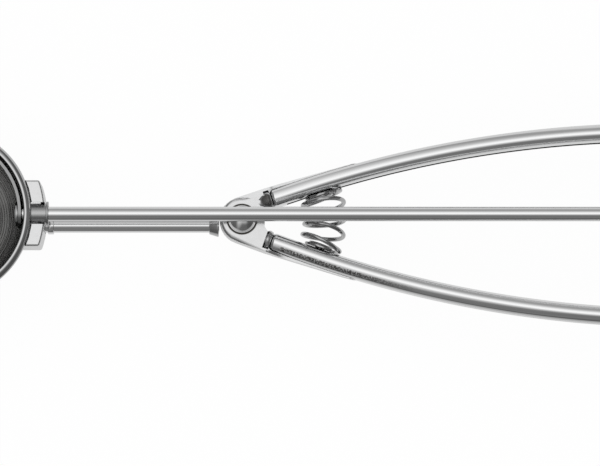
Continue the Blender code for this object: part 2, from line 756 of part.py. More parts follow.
def make_handle(name, side, root, end_frame):
    handle = handle_solid(name, side, 0.0, HANDLE_START, HANDLE_END)
    far = HANDLE_END + CUT_OVER
    hollow = handle_solid(name + "_hollow", side, HANDLE_SHEET, HANDLE_START + HANDLE_SHEET, far)
    slot_stations = handle_stations(HANDLE_START + 0.0045, far)
    below = -HANDLE_THICKNESS
    slot = plate(name + "_slot", band(slot_stations, below, 0.0, side), -HANDLE_SLOT / 2, HANDLE_SLOT / 2)
    for piece in (handle, hollow, slot):
        place(piece, root)
    cut(handle, hollow, slot)
    cut_rivet_holes(handle, end_frame)
    return finish_part(handle, 0.68, 0.12)


def cut_rivet_holes(target, end_frame):
    """Holes for the two rivets across a handle's end."""
    radius = END_RIVET_DIAMETER / 2 + WELD_GAP
    for i, station in enumerate(END_RIVET_STATIONS):
        hole = bar(f"{target.name}_rivet_hole_{i + 1}", radius, -HANDLE_DEPTH, HANDLE_DEPTH)
        cut(target, place(hole, end_frame, (-station, 0, 0), (math.pi / 2, 0, 0)))


def make_end_rivets(name, side, end_frame):
    """Rivets through the handle's back and the tab inside it, with their heads outside."""
    seat = HANDLE_THICKNESS / 2 + WELD_GAP
    top = seat + END_RIVET_HEAD_HEIGHT
    tail_top = TAB_TOP - TAB_THICKNESS - WELD_GAP
    tail_low = tail_top - END_RIVET_TAIL_HEIGHT
    head = END_RIVET_HEAD_DIAMETER / 2
    tail = END_RIVET_TAIL_DIAMETER / 2
    shank = END_RIVET_DIAMETER / 2
    profile = [(0, top), (head * 0.55, top - 0.0001), (head * 0.88, top - 0.0004), (head, seat)]
    profile += [(shank, seat), (shank, tail_top), (tail, tail_top), (tail, tail_low), (0, tail_low)]
    for i, station in enumerate(END_RIVET_STATIONS):
        rivet = turned(f"{name}_{i + 1}", profile, 20)
        place(rivet, end_frame, (-station, 0, 0), (-side * math.pi / 2, 0, 0))
        finish_part(rivet, 0.6)


# Return spring and the studs that hold its ends


def spring_fan():
    """Where the two end planes of the spring meet, and how far the spring is from there."""
    handle_inside = HANDLE_OFFSET - HANDLE_THICKNESS / 2
    depth = SEAT_GAP + WIRE_DIAMETER / 2
    centre = (depth - handle_inside) / math.sin(ROOT_ANGLE)
    return centre, SPRING_STATION - centre * math.cos(ROOT_ANGLE)


def spring_points():
    centre, distance = spring_fan()
    coil = (SPRING_DIAMETER - WIRE_DIAMETER) / 2
    start = math.pi * SPRING_CLOSED_TURN
    count = round(SPRING_TURNS * SPRING_POINTS_A_TURN)
    points = []
    for i in range(count + 1):
        turns = SPRING_TURNS * i / count
        climb = (turns - SPRING_CLOSED_TURN) / (SPRING_TURNS - 2 * SPRING_CLOSED_TURN)
        tilt = ROOT_ANGLE * (2 * min(1, max(0, climb)) - 1)
        phase = 2 * math.pi * turns - start
        out = distance + coil * math.cos(phase)
        place_x = centre + out * math.cos(tilt)
        place_y = out * math.sin(tilt)
        points.append((place_x, place_y, coil * math.sin(phase)))
    return points


def least_spring_gap(points):
    """The least distance between neighbouring turns, less the wire."""
    turn = SPRING_POINTS_A_TURN
    apart = [
        (Vector(points[i]) - Vector(points[j])).length
        for i in range(len(points))
        for j in range(i + turn - 2, min(i + turn + 3, len(points)))
    ]
    return min(apart) - WIRE_DIAMETER


def make_return_spring():
    points = spring_points()
    curve = bpy.data.curves.new("return_spring", "CURVE")
    curve.dimensions = "3D"
    curve.bevel_depth = WIRE_DIAMETER / 2
    curve.bevel_resolution = 1
    curve.use_fill_caps = True
    add_spline(curve, points)
    spring = add_object("return_spring", curve_to_mesh("return_spring", curve))
    place(spring, ROOT, rotation=(0, 0, LEAN))
    print(f"return_spring: least gap between turns {least_spring_gap(points) * 1000:.2f} mm")
    return finish_part(spring, 0.5, 0.2)


def make_spring_cup(name, side, root):
    """A stepped stud on the handle's lips, inside the coil, with a spigot in the slot."""
    top = CUP_THICKNESS + CUP_PILOT_HEIGHT
    rim = CUP_DIAMETER / 2
    pilot = CUP_PILOT_DIAMETER / 2
    spigot = HANDLE_SLOT / 2 - SEAT_GAP
    profile = [(0, top), (pilot - SEAT_GAP, top), (pilot, top - SEAT_GAP), (pilot, CUP_THICKNESS)]
    profile += [(rim, CUP_THICKNESS), (rim, 0), (spigot, 0), (spigot, -CUP_SPIGOT), (0, -CUP_SPIGOT)]
    cup = turned(name, profile)
    seat = side * (HANDLE_OFFSET - HANDLE_THICKNESS / 2 - SEAT_GAP)
    place(cup, root, (SPRING_STATION, seat, 0), (side * math.pi / 2, 0, 0))
    return finish_part(cup, 0.55)


# Shaft and wiper


def make_shaft(end):
    start = blade_inside(HUB_DIAMETER / 2) - HUB_LENGTH - SHAFT_RIVETED_END
    shaft = bar("shaft", SHAFT_RADIUS, start, BOWL_DISTANCE + end, chamfer=0.0004, steps=32)
    return finish_part(place(shaft, WIPER_AXIS, rotation=ALONG_X), 0.66, 0.10)


def make_wiper_blade():
    """Half a ring that follows the bowl's inside, with a round lug at each end."""
    outer = BOWL_INNER_RADIUS - BLADE_GAP
    inner = outer - BLADE_THICKNESS
    half = BLADE_WIDTH / 2
    outer_tilt = math.degrees(math.asin(half / outer))
    inner_tilt = math.degrees(math.asin(half / inner))
    profile = arc((0, 0), outer, outer_tilt, -outer_tilt, 3) + arc((0, 0), inner, -inner_tilt, inner_tilt, 3)
    blade = place(turned("wiper_blade", profile, 60, closed=True), WIPER_AXIS)
    far = BOWL_OUTER_RADIUS + CUT_OVER
    outline = [(-far, -far), (0, -far)] + arc((0, 0), half, -90, -270, 10) + [(0, far), (-far, far)]
    other_side = place(plate("blade_other_side", outline, -far, far), WIPER_AXIS, rotation=FACING_X)
    near = inner - CUT_OVER
    shaft_hole = bar("blade_shaft_hole", SHAFT_RADIUS + WELD_GAP, near, far)
    pin_hole = bar("blade_pin_hole", TIP_PIN_DIAMETER / 2 + WELD_GAP, -far, -near)
    place(shaft_hole, WIPER_AXIS, rotation=ALONG_X)
    place(pin_hole, WIPER_AXIS, rotation=ALONG_X)
    cut(blade, other_side, shaft_hole, pin_hole)
    return finish_part(blade, 0.6, 0.1)


def blade_inside(radius):
    """How far along the shaft's axis a flat round face of this radius clears the blade."""
    inner = BOWL_INNER_RADIUS - BLADE_GAP - BLADE_THICKNESS
    return math.sqrt(inner**2 - radius**2) - WELD_GAP


def make_wiper_hub():
    seat = blade_inside(HUB_DIAMETER / 2)
    low = seat - HUB_LENGTH
    bore = SHAFT_RADIUS + WELD_GAP
    hub = tube_ring("wiper_hub", bore, HUB_DIAMETER / 2, low, seat)
    return finish_part(place(hub, WIPER_AXIS, rotation=ALONG_X), 0.5, 0.2)


def make_tip_pin():
    """A headed pin that holds the blade's far end in the bowl's wall."""
    seat = -blade_inside(TIP_HEAD_DIAMETER / 2)
    inner_face = seat + TIP_HEAD_THICKNESS
    end = -BOWL_OUTER_RADIUS - TIP_PIN_STAND_OUT
    shank = TIP_PIN_DIAMETER / 2
    head = TIP_HEAD_DIAMETER / 2
    profile = [(0, inner_face), (head - 0.0004, inner_face), (head, inner_face - 0.0004)]
    profile += [(head, seat), (shank, seat), (shank, end + 0.0004), (shank - 0.0004, end), (0, end)]
    pin = turned("wiper_tip_pin", profile, 24)
    return finish_part(place(pin, WIPER_AXIS, rotation=ALONG_X), 0.5, 0.2)


# Pinion and rack


def involute(angle):
    return math.tan(angle) - angle


def pinion_outline():
    """Ten teeth with involute flanks. A space between two teeth faces the outline's +x."""
    base = PITCH_RADIUS * math.cos(PRESSURE_ANGLE)
    tip = PITCH_RADIUS + PINION_ADDENDUM
    root = PITCH_RADIUS - RACK_ADDENDUM - TIP_CLEARANCE
    half_tooth = (TOOTH_PITCH - BACKLASH) / 4 / PITCH_RADIUS + involute(PRESSURE_ANGLE)
    flank = [(root, half_tooth), (base, half_tooth)]
    for step in range(1, 5):
        radius = base + (tip - base) * step / 4
        flank.append((radius, half_tooth - involute(math.acos(base / radius))))
    outline = []
    for tooth in range(PINION_TEETH):
        middle = 2 * math.pi * (tooth + 0.5) / PINION_TEETH
        outline += [polar(radius, middle - angle) for radius, angle in flank]
        outline += [polar(radius, middle + angle) for radius, angle in reversed(flank)]
    return outline


def polar(radius, angle):
    return (radius * math.cos(angle), radius * math.sin(angle))


def make_pinion():
    start = BOWL_DISTANCE + PINION_START
    out = PINION_HUB_DIAMETER / 2 + CUT_OVER
    pinion = plate("pinion", pinion_outline(), start, start + PINION_FACE)
    low = start - PINION_HUB_LENGTH
    hub = bar("pinion_hub", PINION_HUB_DIAMETER / 2, low, start + PINION_FACE / 4, chamfer=0.0003)
    far = start + PINION_FACE + CUT_OVER
    bore = bar("pinion_bore", SHAFT_RADIUS + WELD_GAP, low - CUT_OVER, far, steps=32)
    pin_hole = bar("pinion_pin_hole", PINION_PIN_DIAMETER / 2 + PIN_GAP, -out, out, steps=16)
    for piece in (pinion, hub, bore):
        place(piece, WIPER_AXIS, rotation=ALONG_X)
    pin_place = (start - PINION_HUB_LENGTH / 2, 0, 0)
    place(pin_hole, WIPER_AXIS, pin_place, (math.pi / 2, 0, 0))
    join(pinion, hub)
    cut(pinion, bore, pin_hole)
    cut(bpy.data.objects["shaft"], pin_hole)
    half = PINION_HUB_DIAMETER / 2
    pin = bar("pinion_pin", PINION_PIN_DIAMETER / 2, -half, half, steps=16)
    finish_part(place(pin, WIPER_AXIS, pin_place, (math.pi / 2, 0, 0)), 0.5)
    return finish_part(pinion, 0.5, 0.25)


def tooth_space(name, middle):
    """A cutter for one space of the rack, square to the rack's curve."""
    half = (TOOTH_PITCH + BACKLASH) / 4
    slope = math.tan(PRESSURE_ANGLE)
    above = RACK_ADDENDUM + 0.001
    below = PINION_ADDENDUM + TIP_CLEARANCE
    outline = [
        (-half - above * slope, above),
        (-half + below * slope, -below),
        (half - below * slope, -below),
        (half + above * slope, above),
    ]
    cutter = plate(name, outline, -RACK_THICKNESS * 1.5, RACK_THICKNESS * 1.5)
    location = (*polar(RACK_RADIUS, middle), PITCH_HEIGHT)
    return place(cutter, SQUEEZE_AXIS, location, (math.pi / 2, 0, math.pi / 2 + middle))


def tab_line(side, offset):
    """Two points on a line along the inside of a handle's end, seen from the pivot."""
    near = handle_point(HANDLE_END, offset, side)
    turn = handle_turn(side) - side * CURVE_ANGLE
    point = Vector(from_pivot(near, side))
    return point, Vector((math.cos(turn), math.sin(turn)))


def where_radius(point, direction, radius):
    """How far along a line it reaches this distance from the pivot."""
    along = point.dot(direction)
    return -along + math.sqrt(along**2 - point.dot(point) + radius**2)


FOOT_ANGLE = math.asin((GUIDE_SIDE - GUIDE_WIDTH / 2 - SEAT_GAP) / RACK_RADIUS)


def rack_outline():
    """The strip seen from above: a foot that stops it, the long arc and the tab inside the handle."""
    inner = RACK_RADIUS - RACK_THICKNESS / 2
    outer = RACK_RADIUS + RACK_THICKNESS / 2
    top, direction = tab_line(1, TAB_TOP)
    low, _ = tab_line(1, TAB_TOP - TAB_THICKNESS)
    top_corner = top + direction * where_radius(top, direction, outer)
    low_corner = low + direction * where_radius(low, direction, inner)
    foot_top = math.degrees(FOOT_ANGLE)
    foot_low = math.degrees(FOOT_ANGLE - RACK_THICKNESS / RACK_RADIUS)
    outer_end = math.degrees(math.atan2(top_corner.y, top_corner.x))
    inner_end = math.degrees(math.atan2(low_corner.y, low_corner.x))
    foot_out = outer + RACK_FOOT
    outline = [polar(inner, math.radians(foot_low)), polar(foot_out, math.radians(foot_low))]
    outline += [polar(foot_out, math.radians(foot_top))]
    outline += arc((0, 0), outer, foot_top, outer_end - 0.6, 26)
    outline += [tuple(top_corner - direction * 0.0012)]
    outline += [tuple(top - direction * TAB_LENGTH), tuple(low - direction * TAB_LENGTH)]
    outline += arc((0, 0), inner, inner_end, foot_low + 0.3, 26)
    return outline


def make_rack():
    rack = place(plate("rack", rack_outline(), RACK_BOTTOM, RACK_TOP), SQUEEZE_AXIS)
    step = TOOTH_PITCH / RACK_RADIUS
    used = round(SQUEEZE_ANGLE / step)
    spaces = int(used + 2 * SPARE_TEETH)
    for i in range(spaces + 1):
        middle = MESH_ANGLE + (i - SPARE_TEETH) * step
        cut(rack, tooth_space(f"rack_space_{i + 1}", middle))
    reach = TAB_LENGTH + CUT_OVER
    beside = HANDLE_DEPTH / 2
    for name, low, high in (
        ("rack_tab_over", TAB_HALF_WIDTH, RACK_TOP + CUT_OVER),
        ("rack_tab_under", RACK_BOTTOM - CUT_OVER, -TAB_HALF_WIDTH),
    ):
        trim = box(name, (-reach, -beside, low), (RACK_THICKNESS, beside, high))
        cut(rack, place(trim, UPPER_END))
    cut_rivet_holes(rack, UPPER_END)
    return finish_part(rack, 0.6, 0.18)


# Bearing bracket and the rack's guide


def guide_depths():
    """The lowest and highest of the guide's strap."""
    low = RACK_BOTTOM - GUIDE_CLEARANCE - GUIDE_SHEET
    high = RACK_TOP + GUIDE_CLEARANCE + GUIDE_SHEET
    return low, high


def make_bearing_bracket():
    wall_start = bearing_face()
    wall_end = wall_start + BEARING_SHEET
    foot = from_pivot(handle_point(HANDLE_END, 0.0, -1), -1)[1]
    low, high = guide_depths()
    guide_low = GUIDE_SIDE - GUIDE_WIDTH / 2 - GUIDE_MARGIN
    guide_high = GUIDE_SIDE + GUIDE_WIDTH / 2 + GUIDE_MARGIN
    narrow = TAB_HALF_WIDTH
    outline = [(foot - TAB_TOP, -narrow), (foot + 0.002, -narrow)]
    outline += [(guide_low, low), (guide_high, low)]
    outline += arc((SHAFT_SIDE, SHAFT_HEIGHT), BEARING_BOSS_RADIUS, -75, 150, 16)
    outline += [(guide_high, high), (guide_low, high)]
    outline += [(foot + 0.002, narrow), (foot - TAB_TOP, narrow)]
    wall = plate("bearing_bracket", outline, wall_start, wall_end)
    place(wall, ROOT, rotation=FACING_X)
    tab = box(
        "bearing_tab",
        (-TAB_LENGTH, -TAB_TOP, -narrow),
        (SEAT_GAP + BEARING_SHEET * 0.6, TAB_THICKNESS - TAB_TOP, narrow),
    )
    near = wall_start - CUT_OVER
    hole = bar("bearing_hole", BUSH_DIAMETER / 2 + WELD_GAP, near, wall_end + CUT_OVER, steps=32)
    place(hole, ROOT, (0, SHAFT_SIDE, SHAFT_HEIGHT), ALONG_X)
    join(wall, place(tab, LOWER_END))
    cut(wall, hole)
    cut_rivet_holes(wall, LOWER_END)
    return finish_part(wall, 0.6, 0.18)


def make_end_bush():
    start = bearing_face() - SEAT_GAP
    seat = END_BUSH_SEAT
    outer = BUSH_DIAMETER / 2
    bore = BUSH_BORE / 2
    flange = outer + BUSH_FLANGE
    profile = [(flange, seat + FLANGE_THICKNESS), (flange, seat), (outer, seat), (outer, start)]
    profile += [(bore, start), (bore, seat + FLANGE_THICKNESS)]
    bush = turned("end_bush", profile, 32, closed=True)
    return finish_part(place(bush, ROOT, (0, SHAFT_SIDE, SHAFT_HEIGHT), ALONG_X), 0.45, 0.25)


def make_rack_guide():
    """A strap that keeps the rack against the pinion."""
    start = bearing_face() + BEARING_SHEET + SEAT_GAP
    low, high = guide_depths()
    near = GUIDE_SIDE + GUIDE_WIDTH / 2
    inside = math.sqrt((RACK_RADIUS + RACK_THICKNESS / 2) ** 2 - near**2) + GUIDE_CLEARANCE
    outside = inside + GUIDE_SHEET
    outline = [(start, -low), (outside, -low), (outside, -high), (start, -high)]
    outline += [(start, -high + GUIDE_SHEET), (inside, -high + GUIDE_SHEET)]
    outline += [(inside, -low - GUIDE_SHEET), (start, -low - GUIDE_SHEET)]
    guide = plate("rack_guide", outline, -GUIDE_WIDTH / 2, GUIDE_WIDTH / 2)
    place(guide, ROOT, (0, GUIDE_SIDE, 0), (-math.pi / 2, 0, 0))
    return finish_part(guide, 0.6, 0.18)


def settle_origin():
    """Shifts the scoop so that the origin is under the middle of its box."""
    bpy.context.view_layer.update()
    graph = bpy.context.evaluated_depsgraph_get()
    corners = []
    for obj in PARTS.objects:
        if obj.type == "MESH":
            solid = obj.evaluated_get(graph)
            corners += [solid.matrix_world @ vertex.co for vertex in solid.data.vertices]
    low = Vector([min(corner[axis] for corner in corners) for axis in range(3)])
    high = Vector([max(corner[axis] for corner in corners) for axis in range(3)])
    ROOT.location = (-(low.x + high.x) / 2, -(low.y + high.y) / 2, -low.z)
    bpy.context.view_layer.update()
    print("box", [round((high - low)[axis] * 1000, 2) for axis in range(3)], "mm")
    print("pivot at", [round(value, 6) for value in SQUEEZE_AXIS.matrix_world.translation])
    print("wiper axis at", [round(value, 6) for value in WIPER_AXIS.matrix_world.translation])
    print("wiper turns", round(WIPER_RATIO, 4), "times as far as the handle")


def main():
    make_bowl()
    make_bowl_bracket()
    make_shaft_bush()
    make_stem()
    make_stem_collar()
    make_stem_foot()
    make_clevises()
    make_pivot_rivet()
    make_pivot_sleeve()
    make_handle("lower_handle", -1, LOWER_ROOT, LOWER_END)
    make_handle("upper_handle", 1, UPPER_ROOT, UPPER_END)
    make_return_spring()
    make_spring_cup("lower_spring_cup", -1, LOWER_ROOT)
    make_spring_cup("upper_spring_cup", 1, UPPER_ROOT)
    make_shaft(PINION_END + SHAFT_STAND_OUT)
    make_wiper_blade()
    make_wiper_hub()
    make_tip_pin()
    make_pinion()
    make_rack()
    make_end_rivets("rack_rivet", 1, UPPER_END)
    make_bearing_bracket()
    make_end_rivets("bearing_rivet", -1, LOWER_END)
    make_end_bush()
    make_rack_guide()
    settle_origin()


main()
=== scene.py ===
# %% [markdown]
# # An ice cream scoop with squeeze handles
# The scoop is all stainless steel. A bowl sits on the end of a stem. Two bowed handles turn on one
# rivet, with a coil spring between them. A curved rack on the moving handle turns a long shaft,
# and the shaft's blade sweeps the ball of ice cream out of the bowl.
#
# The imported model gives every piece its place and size, in metres. This script dresses it. Pieces
# that are round or bent metal are made again with smooth surfaces, pieces of cut sheet get rounded
# edges, and each gets the finish that it has on the real tool.

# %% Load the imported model
import json
import math

import bmesh
import bpy
from mathutils import Matrix, Vector

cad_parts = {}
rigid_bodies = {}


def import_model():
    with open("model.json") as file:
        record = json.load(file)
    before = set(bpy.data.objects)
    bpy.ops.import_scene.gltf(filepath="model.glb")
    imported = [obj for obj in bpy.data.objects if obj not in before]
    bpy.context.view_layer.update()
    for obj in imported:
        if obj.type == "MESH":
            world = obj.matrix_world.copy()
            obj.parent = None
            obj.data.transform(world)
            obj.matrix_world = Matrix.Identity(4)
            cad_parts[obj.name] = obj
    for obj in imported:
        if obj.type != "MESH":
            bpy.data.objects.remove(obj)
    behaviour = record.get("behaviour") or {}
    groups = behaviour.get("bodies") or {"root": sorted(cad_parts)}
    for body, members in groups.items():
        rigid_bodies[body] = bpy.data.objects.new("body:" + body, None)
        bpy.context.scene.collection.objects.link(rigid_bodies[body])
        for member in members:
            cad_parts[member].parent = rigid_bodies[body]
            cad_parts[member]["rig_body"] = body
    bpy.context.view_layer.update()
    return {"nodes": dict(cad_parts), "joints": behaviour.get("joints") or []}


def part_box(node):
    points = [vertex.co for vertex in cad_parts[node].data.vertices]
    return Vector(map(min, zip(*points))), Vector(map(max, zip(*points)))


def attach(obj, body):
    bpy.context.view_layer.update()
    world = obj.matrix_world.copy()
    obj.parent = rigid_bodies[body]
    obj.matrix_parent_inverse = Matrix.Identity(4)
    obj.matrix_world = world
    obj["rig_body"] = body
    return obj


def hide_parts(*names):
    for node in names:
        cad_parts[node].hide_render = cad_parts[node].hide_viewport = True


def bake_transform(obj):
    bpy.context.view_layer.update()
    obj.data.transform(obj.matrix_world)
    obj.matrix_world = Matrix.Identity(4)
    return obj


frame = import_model()
JOINTS = {joint["name"]: joint for joint in frame["joints"]}

# %% [markdown]
# ## Where things are measured from
# The moving handle swings about the pivot rivet, and the bowl and its blade are centred on the
# shaft's line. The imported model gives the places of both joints, so most numbers below are
# distances from one of the two. Typing in places from a drawing would work as well, but they'd all
# be wrong after one change. Lengths are written in millimetres times MM, because Blender counts in
# metres.

# %% The two places that everything is measured from
MM = 0.001
PIVOT = Vector(JOINTS["handle_squeeze"]["pos_m"])
BOWL = Vector(JOINTS["wiper_turn"]["pos_m"])
print("rivet", PIVOT / MM, "middle of the bowl", BOWL / MM)


# %% [markdown]
# ## Finishing a mesh
# Polished metal shows every fault of a surface, so shading matters as much as shape. Smooth
# shading alone would smear the light round a sharp corner. Splitting the mesh at its corners would
# work, but it opens the mesh. Here all faces are smooth, the edges that turn sharply are marked,
# and weighted normals keep a flat face flat right up to its rounded edge.
#
# The normals are made to point outwards after doubled points are merged, because only then does
# Blender know which faces belong together.

# %% Shade a mesh
SHARP_TURN = 40  # degrees
DOUBLED = 1e-7  # points nearer than this, in metres, are one


def shade(shape):
    bmesh.ops.remove_doubles(shape, verts=shape.verts, dist=DOUBLED)
    bmesh.ops.recalc_face_normals(shape, faces=shape.faces)
    for face in shape.faces:
        face.smooth = True
    for edge in shape.edges:
        edge.smooth = edge.is_manifold and edge.calc_face_angle() < math.radians(SHARP_TURN)


# %% [markdown]
# ## Taking a node's place
# The imported model's own pieces, its nodes, stay in the file, hidden, for collisions. A new piece
# moves with the same body as the node that it stands for, and gets its own finish. Moving and
# turning the object would be the easy way to place it. Here the object stays at the origin and its
# place is in its mesh, as it is for the nodes, so a pattern on it can't slide.

# %% Put a mesh in the scene, in place of a node
def show_piece(name, shape, finish):
    shade(shape)
    mesh = bpy.data.meshes.new(name)
    shape.to_mesh(mesh)
    shape.free()
    mesh.materials.append(finish)
    piece = bpy.data.objects.new(name, mesh)
    bpy.context.scene.collection.objects.link(piece)
    weighted = piece.modifiers.new("weighted_normals", "WEIGHTED_NORMAL")
    weighted.keep_sharp = True
    size = [round(side / MM, 2) for side in piece.dimensions]
    print(name, len(mesh.polygons), "faces,", size, "mm")
    return piece


def fit_piece(name, shape, finish, node):
    """The piece rides on the body of the node that it stands for."""
    piece = show_piece(name, shape, finish)
    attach(piece, frame["nodes"][node]["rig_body"])
    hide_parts(node)
    return piece


# %% [markdown]
# ## Rounded edges
# No edge of a real tool is perfectly sharp: tumbling and polishing round it by a tenth of a
# millimetre, and that edge catches a line of light. A Bevel modifier could do it for a whole
# piece. The bevel operator does the same in the mesh, only on the edges that turn more than a
# given angle.

# %% Round the sharp edges of a mesh
TURNED_CORNER, SHEET_CORNER = 35, 38  # degrees, past which an edge is rounded


def round_sharp_edges(shape, radius, sharper_than=TURNED_CORNER):
    edges = [
        edge
        for edge in shape.edges
        if edge.is_manifold and edge.calc_face_angle() > math.radians(sharper_than)
    ]
    bmesh.ops.bevel(
        shape,
        geom=edges,
        offset=radius,
        segments=2,
        profile=0.5,
        affect="EDGES",
        clamp_overlap=True,
        material=-1,
    )


# %% [markdown]
# ## Shader maths as Python
# The node tree of a steel has 17 nodes or more, and wiring them by hand hides what they do. Here a
# wire is one socket of a shader. Sums and products of wires add Math nodes, so a pattern reads as
# one line. Any other node comes from the method node, which sets the node up first, because a
# setting can change which sockets it has, and then plugs it in.

# %% A wire between nodes
class Wire:
    def __init__(self, tree, socket=None):
        self.tree = tree
        self.socket = socket

    def node(self, kind, settings=None, sockets=None, output=0):
        made = self.tree.nodes.new(kind)
        for name, value in (settings or {}).items():
            if name == "stops":
                self.set_stops(made.color_ramp, value)
            else:
                setattr(made, name, value)
        for name, value in (sockets or {}).items():
            if isinstance(value, Wire):
                self.tree.links.new(value.socket, made.inputs[name])
            else:
                made.inputs[name].default_value = value
        return Wire(self.tree, made.outputs[output])

    def set_stops(self, ramp, stops):
        while len(ramp.elements) < len(stops):
            ramp.elements.new(0.5)  # gets its place below
        for element, (place, grey) in zip(ramp.elements, stops):
            element.position = place
            element.color = (grey, grey, grey, 1)

    def maths(self, operation, first, second=0.0):
        return self.node("ShaderNodeMath", {"operation": operation}, {0: first, 1: second})

    def __add__(self, other):
        return self.maths("ADD", self, other)

    __radd__ = __add__

    def __sub__(self, other):
        return self.maths("SUBTRACT", self, other)

    def __rsub__(self, other):
        return self.maths("SUBTRACT", other, self)

    def __mul__(self, other):
        return self.maths("MULTIPLY", self, other)

    __rmul__ = __mul__

    def __truediv__(self, other):
        return self.maths("DIVIDE", self, other)


# %% [markdown]
# ## A few words for shaders
# The patterns on this scoop are made in the same few steps: take the place on the piece, measure
# it from a centre, make noise there, and turn a value into a soft step. Each step gets a short
# function, so that a steel reads as a recipe. In the node editor the same steps would be boxes and
# lines, built anew for each of the thirteen steels.

# %% Helpers for a shader
def start_material(name):
    material = bpy.data.materials.new(name)
    material.use_nodes = True
    return material, Wire(material.node_tree)


def on_piece(wire):
    """Places on the piece, measured from the origin."""
    return wire.node("ShaderNodeTexCoord", output="Object")


def seen_from(wire, centre, turn=0.0):
    """Places on the piece, measured from a centre and along an axis turned about Z."""
    sockets = {"Vector": on_piece(wire), "Location": centre, "Rotation": (0, 0, turn)}
    return wire.node("ShaderNodeMapping", {"vector_type": "TEXTURE"}, sockets)


def one_axis(wire, place, axis):
    return wire.node("ShaderNodeSeparateXYZ", None, {"Vector": place}, output=axis)


def noise(wire, place, detail, scale=1.0):
    sockets = {"Vector": place, "Scale": scale, "Detail": detail}
    return wire.node("ShaderNodeTexNoise", None, sockets)


def fade(wire, value, start, end, low=0.0, high=1.0):
    """Goes softly from low to high while the value goes from start to end."""
    return wire.node(
        "ShaderNodeMapRange",
        {"interpolation_type": "SMOOTHSTEP"},
        {"Value": value, "From Min": start, "From Max": end, "To Min": low, "To Max": high},
    )


def mix(wire, factor, first, second):
    sockets = {"Factor": factor, "A": first, "B": second}
    return wire.node("ShaderNodeMix", {"data_type": "RGBA"}, sockets, output=2)


def bump(wire, height, strength, depth, under=None):
    sockets = {"Height": height, "Strength": strength, "Distance": depth}
    if under:
        sockets["Normal"] = under
    return wire.node("ShaderNodeBump", None, sockets)


# %% [markdown]
# ## Polished stainless steel
# Steel has hardly any colour of its own: it shows the room. What tells one piece from another is
# how it was polished. A drawn rod has faint lines along it, a spun bowl has rings, pressed sheet
# has a slight orange peel, and small turned parts are duller. Image textures could show that, but
# a noise that is stretched along the lines has no seams and is sharp at every distance.
#
# The stretched noise moves the roughness a little and tilts the surface by a hair. A second,
# coarse noise stands for the cloudiness that fingers and washing leave.

# %% One steel for each way of polishing
FULL_METAL = 1.0
CLOUD_SCALE, CLOUD_DETAIL, LINE_DETAIL = 70.0, 3.0, 5.0
COOL, WARM = (0.97, 0.975, 0.985), (1.0, 1.0, 0.995)  # tints that the clouds go between
LINES_DULL, CLOUDS_DULL, LINES_TILT = 0.9, 0.8, 0.15


def steel(name, grey, roughness, grain, turn=0.0, centre=(0, 0, 0), depth=0.01, extra=None):
    """Grain is the number of lines a metre along X, Y and Z, and depth is their depth in mm.
    Extra is a function that adds what only one piece shows."""
    material, wire = start_material(name)
    along = seen_from(wire, centre, turn)
    stretched = wire.node("ShaderNodeMapping", None, {"Vector": along, "Scale": grain})
    lines = noise(wire, stretched, LINE_DETAIL)
    cloud = noise(wire, on_piece(wire), CLOUD_DETAIL, CLOUD_SCALE)
    cool, warm = ((*(grey * share for share in tint), 1) for tint in (COOL, WARM))
    look = {
        "Base Color": mix(wire, cloud, cool, warm),
        "Roughness": roughness * (1 + (lines - 0.5) * LINES_DULL + (cloud - 0.5) * CLOUDS_DULL),
        "Normal": bump(wire, lines, LINES_TILT, depth * MM),
    }
    if extra:
        extra(wire, look)
    surface = material.node_tree.nodes["Principled BSDF"]
    surface.inputs["Metallic"].default_value = FULL_METAL
    for socket, value in look.items():
        wire.tree.links.new(value.socket, surface.inputs[socket])
    print(name, "grey", grey, "roughness", roughness, "nodes", len(wire.tree.nodes))
    return material


# %% [markdown]
# ## Turned pieces
# A turned part is one half profile, spun about its axis as on a lathe. A cylinder primitive would
# do for a plain rod, but a profile takes shoulders, bores and chamfers in the same way. The
# profile lists radius and height, the spin closes on itself, and its corners are then rounded.
#
# It is made about Z at the origin and then laid down in its place, so the object itself stays at
# the origin and the steel's lines stay where they belong.

# %% Spin a profile about an axis
SPIN_STEPS = 64


def spun_shape(profile, closed, steps):
    shape = bmesh.new()
    points = [shape.verts.new((radius, 0, height)) for radius, height in profile]
    ends = points[1:] + points[:1] if closed else points[1:]
    edges = [shape.edges.new(pair) for pair in zip(points, ends)]
    bmesh.ops.spin(
        shape,
        geom=points + edges,
        cent=(0, 0, 0),
        axis=(0, 0, 1),
        angle=math.tau,
        steps=steps,
        use_merge=True,
        use_duplicate=False,
    )
    bmesh.ops.remove_doubles(shape, verts=shape.verts, dist=DOUBLED)
    bmesh.ops.recalc_face_normals(shape, faces=shape.faces)
    return shape


def turned(name, node, profile, place, finish, closed=False, edge=0.12):
    """Edge is how far the corners are rounded, in mm."""
    shape = spun_shape(profile, closed, SPIN_STEPS)
    round_sharp_edges(shape, edge * MM)
    shape.transform(place)
    return fit_piece(name, shape, finish, node)


# %% [markdown]
# ## Profiles
# Most turned pieces here are rods and sleeves that lie along X, and their places and lengths are
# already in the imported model. So two functions draw those profiles, one draws an arc for the
# rounded ones, and one reads a node's box and gives its axis, its ends and its radius. Typing
# these in again would be one more chance of a mistake.

# %% Profiles, and the axis of a node
def arc_points(centre, radius, start, end, steps):
    angles = [math.radians(start + (end - start) * i / steps) for i in range(steps + 1)]
    return [(centre[0] + radius * math.cos(a), centre[1] + radius * math.sin(a)) for a in angles]


def rod_profile(radius, low, high):
    return [(0, high), (radius, high), (radius, low), (0, low)]


def sleeve_profile(bore, radius, low, high):
    return [(radius, high), (radius, low), (bore, low), (bore, high)]


